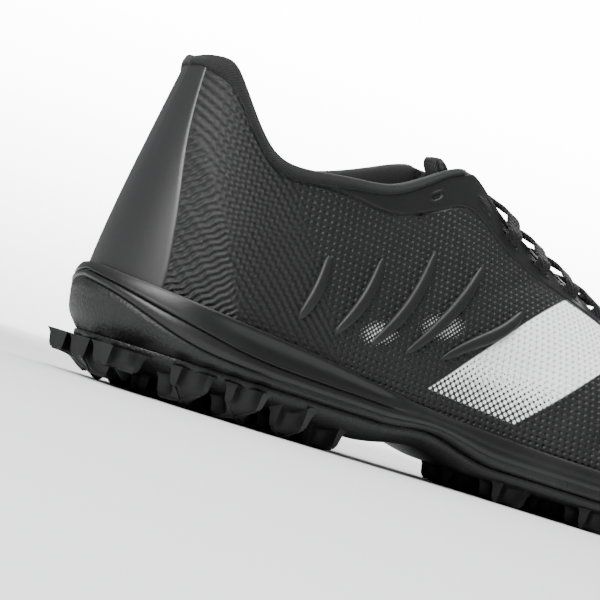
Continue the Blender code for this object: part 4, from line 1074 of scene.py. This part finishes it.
def makeEyestay():
    first = eyestay["first"]
    places = np.linspace(first, 2 - first, eyestay["columns"])
    fromHeel = 1 - np.abs(1 - places)
    throat = smoothStep(collar["corner"] - 0.012, collar["corner"] + 0.004, fromHeel)
    top = (collarDepth(places) + 0.0001) * (1 - throat)
    low = stripLow(places)
    t = np.linspace(0, 1, eyestay["rows"])[:, None]
    depth = low + (top - low) * t
    lengths = ribLengths(places)
    shares = np.array([np.interp(row[-1] - depth[:, i], row, ribSteps) for i, row in enumerate(lengths)]).T
    surface = skin(places[None, :], shares)
    normal = skinNormal(places[None, :], shares)
    edge = skin(places, 1.0)
    along = np.concatenate([[0], np.cumsum(np.linalg.norm(np.diff(edge, axis=0), axis=1))])
    fromLow = low - depth
    width = smoothStep(0.0, 0.004, low - top)[None, :]
    swell = eyestay["thickness"] * np.sqrt(1 - (1 - np.clip(fromLow / 0.0008, 0, 1)) ** 2) * width - 0.0002
    swell = swell - 0.0005 * np.exp(-((depth - 0.0026) / 0.0004) ** 2) * smoothStep(0.45, 0.47, fromHeel)[None, :]
    # mask of the slot recesses, which get painted shade in the colour
    slotShade = np.zeros(shares.shape)
    sides = [(p, size) for p, size in zip(eyeletPlaces, slotLengths)]
    for place, size in sides + [(2 - p, size) for p, size in sides]:
        at = float(np.interp(place, places, along))
        half = eyestay["slotWidth"] / 2
        run = np.clip(np.abs(along[None, :] - at) - (size / 2 - half), 0, None)
        gap = np.hypot(run, depth - eyestay["inset"]) - half
        swell = swell - (eyestay["recess"]) * (1 - smoothStep(-0.0005, 0.0, gap))
        swell = swell + eyestay["rim"] * np.exp(-((gap - 0.0005) / 0.0004) ** 2)
        slotShade = np.maximum(slotShade, 1 - smoothStep(-0.0005, -0.0001, gap))
    verts = surface + normal * swell[..., None]
    up = np.array([0, 0, 1.0])
    wrap = []
    for part, lift in ((0.25, 0.8), (0.6, 1.0), (0.95, 0.75)):
        over = surface[-1] + normal[-1] * (0.0006 - part * (last["wall"] + 0.0010))
        over = over + up * 0.0008 * lift
        under = surface[-1] - normal[-1] * 0.0005
        wrap.append(under * (1 - throat[:, None]) + over * throat[:, None])
    innerShare = np.array([np.interp(row[-1] - 0.0045, row, ribSteps) for row in lengths])
    inner = offSkin(places, innerShare, np.full(len(places), -(last["wall"] + 0.0004)))
    wrap.append((surface[-1] - normal[-1] * 0.0006) * (1 - throat[:, None]) + inner * throat[:, None])
    rows = np.concatenate([verts, np.array(wrap)])
    uv = np.stack(np.broadcast_arrays(along[None, :], np.concatenate([t[:, 0] * 0.0125, 0.0125 + np.arange(1, 5) * 0.001])[:, None]), -1)
    slotShades = np.concatenate([slotShade, np.zeros((4, len(places)))])
    return addMesh("eyestayStrip", rows, gridFaces(rows.shape[0], rows.shape[1]), eyestaySkin(),
                   ["eyestay"], uv=uv, masks={"slotShade": slotShades})


def eyestaySkin():
    made, tree, shader = newMaterial("eyestaySkin", eyestay["grey"], 0.5, 0.35, 0.05, 0.35)
    solid = solidPlace(tree)
    soft = useGroup(tree, grain, Place=solid, Scale=1500.0)
    tone = mixColour(tree, soft.outputs["Tone"], eyestay["grey"], eyestay["light"])
    # painted shade: the slot recesses are coloured near black for the shadow inside the lace slots
    tree.links.new(mixColour(tree, readMask(tree, "slotShade"), tone, (0.0006, 0.0006, 0.0006)), shader.inputs["Base Color"])
    tree.links.new(maths(tree, "MULTIPLY_ADD", soft.outputs["Height"], 0.16, 0.42), shader.inputs["Roughness"])
    bumpFrom(tree, shader, soft.outputs["Height"], 0.00008)
    return made


# ---- tongue: padded, under both edges of the throat
tongue = {"rows": 130, "columns": 72, "thickness": 0.0026, "crown": 0.0024, "gap": 0.0008, "run": 0.012,
          "fall": 0.0095, "tip": 0.017, "station": 21, "puff": 0.0010,
          "black": (0.0045, 0.0045, 0.0048), "lighterTone": (0.0090, 0.0090, 0.0095)}
tongueTip = [(1.00, 0.40, 0.56), (0.65, 0.42, 0.17), (0.07, 0.44, 0.0)]  # run, narrowing, rise


def movedRow(row, run, narrowing, rise):
    moved = row.copy()
    middle, crest = moved[:, 1].mean(), moved[:, 2].max()
    moved[:, 0] += run
    moved[:, 1] = middle + (moved[:, 1] - middle) * narrowing
    moved[:, 2] = crest + (moved[:, 2] - crest) * narrowing + rise
    return moved


def tongueRows():
    share = np.linspace(0, 1, 10)[-2:] ** 0.92
    depth = -last["wall"] - tongue["gap"] * np.array([1.6, 1.0])
    rows = []
    for place in np.arange(15, tongue["station"] + 1) / 32:
        outer, inner = offSkin(place, share, depth), offSkin(2 - place, share, depth)[::-1]
        crown = tongue["crown"] * ((inner[0] - outer[-1])[1] / last["throatWidth"]) ** 2
        bridge = [outer[-1] * (1 - t) + inner[0] * t + [0, 0, crown * 4 * t * (1 - t)] for t in (0.25, 0.5, 0.75)]
        rows.append(np.concatenate([outer, bridge, inner]))
    tip = [movedRow(rows[0], -run * tongue["tip"], width, rise * tongue["tip"]) for run, width, rise in tongueTip]
    return np.array(tip + rows + [movedRow(rows[-1], tongue["run"], 0.60, -tongue["fall"])])


def refine(grid, rows, columns):
    # natural cubics through a grid of points, one way and then the other
    high = np.linspace(0, len(grid) - 1, rows)
    wide = np.linspace(0, grid.shape[1] - 1, columns)
    out = np.stack([np.stack([spline(np.arange(len(grid)), grid[:, c, k], high) for c in range(grid.shape[1])], 1)
                    for k in range(3)], -1)
    return np.stack([np.stack([spline(np.arange(out.shape[1]), out[r, :, k], wide) for r in range(rows)], 0)
                     for k in range(3)], -1)


def gridNormals(grid):
    normal = np.cross(np.gradient(grid, axis=0), np.gradient(grid, axis=1))
    return normal / np.maximum(np.linalg.norm(normal, axis=-1, keepdims=True), 1e-12)


def makeTongue():
    rows, columns = tongue["rows"], tongue["columns"]
    grid = refine(tongueRows(), rows, columns)
    normal = gridNormals(grid)
    normal = normal * np.sign(normal[rows // 2, columns // 2, 2])
    r, c = np.linspace(0, 1, rows)[:, None], np.linspace(-1, 1, columns)[None, :]
    edge = np.clip((1 - np.abs(c)) / 0.10, 0, 1) * np.clip(r / 0.05, 0, 1) * np.clip((1 - r) / 0.03, 0, 1)
    round_ = np.sqrt(1 - (1 - edge) ** 2)
    puff = tongue["puff"] * round_ * (1 - smoothStep(0.10, 0.16, r)) * (1 - np.exp(-((r - 0.085) / 0.006) ** 2))
    half = tongue["thickness"] / 2
    top = grid - normal * (half * (1 - round_) * 1.0)[..., None] + normal * puff[..., None]
    low = grid - normal * (half * (1 + round_))[..., None]
    verts = np.concatenate([top.reshape(-1, 3), low.reshape(-1, 3)])
    faces = gridFaces(rows, columns)
    faces += [f[::-1] for f in gridFaces(rows, columns, start=rows * columns)]
    size = rows * columns
    rim = [c for c in range(columns)] + [r * columns + columns - 1 for r in range(1, rows)]
    rim += [(rows - 1) * columns + c for c in range(columns - 2, -1, -1)] + [r * columns for r in range(rows - 2, 0, -1)]
    faces += [[rim[i], rim[(i + 1) % len(rim)], rim[(i + 1) % len(rim)] + size, rim[i] + size] for i in range(len(rim))]
    uv = np.stack([grid[..., 0], grid[..., 1]], -1).reshape(-1, 2)
    piece = addMesh("tonguePad", verts, faces, tongueCloth(), ["tongue"], uv=np.concatenate([uv, uv]))
    return piece


def tongueCloth():
    made, tree, shader = newMaterial("tongueCloth", tongue["black"], 0.85, 0.3, 0.0, 0.4, 0.1)
    along, across, flat = flatPlace(tree)
    threads = useGroup(tree, weave, Along=along, Across=across, Pitch=0.0013).outputs["Height"]
    soft = useGroup(tree, grain, Place=solidPlace(tree), Scale=900.0)
    height = maths(tree, "MULTIPLY_ADD", soft.outputs["Height"], 0.4, threads)
    # painted highlight and shade: lighter on the thread crowns, darker between threads, varied by the slow random tone
    tone = maths(tree, "MULTIPLY", threads, soft.outputs["Tone"])
    tree.links.new(mixColour(tree, tone, tongue["black"], tongue["lighterTone"]), shader.inputs["Base Color"])
    bumpFrom(tree, shader, height, 0.0002)
    return made


# ---- laces: flat woven bands from each slot over the throat and under the far edge
laces = {"width": 0.0062, "thickness": 0.0012, "crown": 0.0032, "steps": 80, "lean": (1.0, 0.0, -0.38),
         "black": (0.0032, 0.0032, 0.0034), "light": (0.0105, 0.0105, 0.011)}
# across the band and off its middle plane, as shares of half width and half thickness
laceSection = [(-1.0, 0.0), (-0.94, 0.62), (-0.72, 0.96), (-0.36, 1.0), (0.0, 1.0), (0.36, 1.0), (0.72, 0.96), (0.94, 0.62),
               (1.0, 0.0), (0.94, -0.62), (0.72, -0.96), (0.36, -1.0), (0.0, -1.0), (-0.36, -1.0), (-0.72, -0.96), (-0.94, -0.62)]


def laceAt(place, depth, lift):
    share = shareBelowEdge([place], depth)
    return offSkin(np.array([place]), share, np.array([lift]))[0]


def laceLine(start, end, crossing):
    top = 4 * last["fit"] + 0.0008 + laces["thickness"] / 2
    near = [laceAt(start, depth, lift) for depth, lift in
            ((0.0072, -0.0004), (0.0066, 0.0008), (0.0056, top), (0.0030, top + 0.0001), (0.0, top + 0.0002))]
    if crossing:
        far = [laceAt(end, -0.0, -(last["wall"] + 0.00045)), laceAt(end, 0.0040, -(last["wall"] + 0.0005))]
        limit = 0.86
    else:
        far = [laceAt(end, depth, lift) for depth, lift in
               ((0.0, top + 0.0002), (0.0030, top + 0.0001), (0.0056, top), (0.0066, 0.0008), (0.0072, -0.0004))]
        limit = 1.0
    bridge = []
    for t in (0.2, 0.4, 0.6, 0.8):
        point = near[-1] * (1 - t * limit) + far[0] * t * limit
        bridge.append(point + [0, 0, laces["crown"] * 4 * t * (1 - t)])
    line = np.array(near + bridge + far)
    run = np.concatenate([[0], np.cumsum(np.linalg.norm(np.diff(line, axis=0), axis=1))])
    fine = np.linspace(0, run[-1], laces["steps"])
    return np.stack([spline(run, line[:, k], fine) for k in range(3)], -1), fine


def addBand(start, end, crossing, verts, faces, uvs):
    line, run = laceLine(start, end, crossing)
    tangent = np.gradient(line, axis=0)
    tangent /= np.linalg.norm(tangent, axis=1, keepdims=True)
    lean = np.array(laces["lean"])
    across = lean - tangent * (tangent @ lean)[:, None]
    across /= np.linalg.norm(across, axis=1, keepdims=True)
    face = np.cross(tangent, across)
    begin, size = len(verts), len(laceSection)
    for i in range(len(line)):
        for wide, thick in laceSection:
            point = line[i] + across[i] * wide * laces["width"] / 2 + face[i] * thick * laces["thickness"] / 2
            verts.append(point.tolist())
            uvs.append((run[i], wide * laces["width"] / 2))
    faces.extend(gridFaces(len(line), size, closed=True, start=begin))
    faces.append([begin + k for k in range(size)])
    faces.append([begin + (len(line) - 1) * size + k for k in range(size)][::-1])


def makeLaces():
    cloth = laceCloth()
    made = []
    for k in range(2, len(eyeletPlaces)):
        verts, faces, uvs = [], [], []
        near, far = eyeletPlaces[k], eyeletPlaces[k - 1]
        addBand(near, 2 - far, True, verts, faces, uvs)
        addBand(2 - near, far, True, verts, faces, uvs)
        made.append(addMesh("laceCross%d" % (k - 1), verts, faces, cloth, ["lace_cross_%d" % (k - 1)], uv=uvs))
    verts, faces, uvs = [], [], []
    place = eyeletPlaces[-1] + 0.035
    addBand(place, 2 - place, False, verts, faces, uvs)
    made.append(addMesh("laceBar", verts, faces, cloth, ["lace_bar"], uv=uvs))
    return made


def laceCloth():
    # slanted plaits that meet along the middle of the band
    made, tree, shader = newMaterial("laceCloth", laces["black"], 0.82, 0.3, 0.0, 0.4, 0.1)
    along, across, flat = flatPlace(tree)
    folded = maths(tree, "ABSOLUTE", across)
    plait = waves(tree, along, folded, 0.0011, math.radians(52))
    rib = maths(tree, "SINE", maths(tree, "MULTIPLY", folded, 2 * math.pi / 0.00075))
    height = maths(tree, "MULTIPLY_ADD", rib, 0.4, plait)
    # painted shade and highlight: the colour darkens in the plait grooves and lightens on their crests
    tone = ramp(tree, height, -1.2, 1.2)
    tree.links.new(mixColour(tree, tone, laces["black"], laces["light"]), shader.inputs["Base Color"])
    bumpFrom(tree, shader, height, 0.00016)
    return made


# ---- side ribs: five raised lines that fan out on each side
sideRib = {"width": 0.0042, "height": 0.0011, "steps": 46, "grey": (0.0056, 0.0056, 0.0059), "light": (0.0105, 0.0105, 0.011)}
sideRibRows = [  # low along, low share, high along, high share, bow
    (0.190, 0.25, 0.212, 0.60, 0.004), (0.238, 0.24, 0.282, 0.65, 0.006), (0.286, 0.24, 0.352, 0.67, 0.008),
    (0.334, 0.24, 0.422, 0.65, 0.010), (0.382, 0.24, 0.488, 0.60, 0.012),
]


def makeSideRibs(side, name, nodes):
    verts, faces = [], []
    angles = np.linspace(0, math.pi, 11)
    for lowAlong, lowShare, highAlong, highShare, bow in sideRibRows:
        t = np.linspace(0, 1, sideRib["steps"])
        places = placeOfAlong(lowAlong + (highAlong - lowAlong) * t + bow * np.sin(math.pi * t))
        if side > 0:
            places = 2 - places
        shares = lowShare + (highShare - lowShare) * t
        centre, normal = skin(places, shares), skinNormal(places, shares)
        across = np.cross(normal, np.gradient(centre, axis=0))
        across /= np.linalg.norm(across, axis=1, keepdims=True)
        taper = np.clip(np.sin(math.pi * np.clip(t, 0.004, 0.996)), 0, 1) ** 0.32
        begin = len(verts)
        for i in range(len(t)):
            for angle in angles:
                half = sideRib["width"] / 2 * taper[i] * math.copysign(abs(math.cos(angle)) ** 0.7, math.cos(angle))
                high = -0.0004 + (sideRib["height"] + 0.0008) * taper[i] * math.sin(angle) ** 0.6
                verts.append((centre[i] + across[i] * half + normal[i] * high).tolist())
        faces.extend(gridFaces(len(t), len(angles), start=begin))
    return addMesh(name, verts, faces, ribSkin, nodes)


def makeRibSkin():
    made, tree, shader = newMaterial("ribSkin", sideRib["grey"], 0.48, 0.38, 0.06, 0.35)
    soft = useGroup(tree, grain, Place=solidPlace(tree), Scale=1500.0)
    tree.links.new(mixColour(tree, soft.outputs["Tone"], sideRib["grey"], sideRib["light"]), shader.inputs["Base Color"])
    bumpFrom(tree, shader, soft.outputs["Height"], 0.00008)
    return made


ribSkin = makeRibSkin()
makeUpper()
print("upper made")
makeMidsole()
makeOutsole()
makeInsole()
print("sole made")
makeCounter()
makeCollar()
makeEyestay()
makeTongue()
print("counter, collar, eyestay and tongue made")
makeLaces()
makeSideRibs(-1, "outerRibs", ["outer_rib_%d" % k for k in range(1, 6)])
makeSideRibs(1, "innerRibs", ["inner_rib_%d" % k for k in range(1, 6)])
print("laces and ribs made")

# ---- studio: pale floor that brightens into the backdrop, soft lights
studio = {"floor": (0.66, 0.665, 0.665), "size": 9.0, "light": (0.90, 0.91, 0.92), "lightStrength": 0.42,
          "backdrop": (0.97, 0.985, 0.98), "horizon": 3.6, "zenith": 16.0, "floorGlow": 3.2}


def seenOnly(tree):
    # 1 where the camera looks, 0 where light is gathered
    return tree.nodes.new("ShaderNodeLightPath").outputs["Is Camera Ray"]


def makeStudio():
    half = studio["size"] / 2
    floor = bpy.data.meshes.new("floor")
    floor.from_pydata([(-half, -half, 0), (half, -half, 0), (half, half, 0), (-half, half, 0)], [], [(0, 1, 2, 3)])
    made, tree, shader = newMaterial("paleFloor", studio["floor"], 0.8, 0.1)
    shader.inputs["Emission Color"].default_value = (1, 1, 1, 1)
    away = tree.nodes.new("ShaderNodeVectorMath")
    away.operation = "LENGTH"
    tree.links.new(solidPlace(tree), away.inputs[0])
    glow = ramp(tree, away.outputs["Value"], 0.10, 2.6, 0.0, studio["floorGlow"])
    put(tree, shader.inputs["Emission Strength"], maths(tree, "MULTIPLY", seenOnly(tree), glow))
    floor.materials.append(made)
    plane = bpy.data.objects.new("floor", floor)
    bpy.context.scene.collection.objects.link(plane)
    world = bpy.data.worlds.new("paleStudio")
    world.use_nodes = True
    tree = world.node_tree
    lit = tree.nodes["Background"]
    lit.inputs[0].default_value = (*studio["light"], 1)
    lit.inputs[1].default_value = studio["lightStrength"]
    seen = tree.nodes.new("ShaderNodeBackground")
    seen.inputs[0].default_value = (*studio["backdrop"], 1)
    split = tree.nodes.new("ShaderNodeSeparateXYZ")
    tree.links.new(tree.nodes.new("ShaderNodeTexCoord").outputs["Generated"], split.inputs[0])
    tree.links.new(ramp(tree, split.outputs[2], -0.02, 0.22, studio["horizon"], studio["zenith"]), seen.inputs[1])
    mix = tree.nodes.new("ShaderNodeMixShader")
    tree.links.new(seenOnly(tree), mix.inputs[0])
    tree.links.new(lit.outputs[0], mix.inputs[1])
    tree.links.new(seen.outputs[0], mix.inputs[2])
    tree.links.new(mix.outputs[0], tree.nodes["World Output"].inputs[0])
    bpy.context.scene.world = world


def addLight(name, place, target, size, power):
    light = bpy.data.lights.new(name, "AREA")
    light.shape = "RECTANGLE"
    light.size, light.size_y = size
    light.energy = power
    lamp = bpy.data.objects.new(name, light)
    lamp.location = place
    lamp.rotation_euler = (Vector(target) - Vector(place)).to_track_quat("-Z", "Y").to_euler()
    bpy.context.scene.collection.objects.link(lamp)


def makeCamera():
    # on the floor, on the outer side towards the heel, rolled as the picture is
    azimuth, roll, distance, low = math.radians(-30.1), math.radians(17.4), 0.590, 0.010
    target = Vector((0.0714 + last["shiftX"], last["shiftY"] - 0.002, 0.0425))
    rise = math.asin((low - target.z) / distance)
    back = Vector((math.sin(azimuth) * math.cos(rise), -math.cos(azimuth) * math.cos(rise), math.sin(rise)))
    right = Vector((0, 0, 1)).cross(back).normalized()
    up = back.cross(right)
    turned = Matrix((right * math.cos(roll) + up * math.sin(roll), up * math.cos(roll) - right * math.sin(roll), back))
    lens = bpy.data.cameras.new("camera")
    lens.angle = 2 * math.atan(300 / 1885)
    lens.clip_start = 0.01
    camera = bpy.data.objects.new("camera", lens)
    camera.matrix_world = Matrix.Translation(target + back * distance) @ turned.transposed().to_4x4()
    bpy.context.scene.collection.objects.link(camera)
    bpy.context.scene.camera = camera


makeStudio()
addLight("topSoft", (-0.1, 0.1, 1.3), (0, 0, 0.05), (1.4, 1.0), 30)
addLight("keySoft", (-1.05, -0.55, 0.80), (-0.02, 0, 0.04), (0.7, 0.5), 27)
addLight("rimSoft", (0.8, 0.9, 0.7), (0, 0, 0.05), (0.9, 0.6), 9)
makeCamera()
print("studio made")
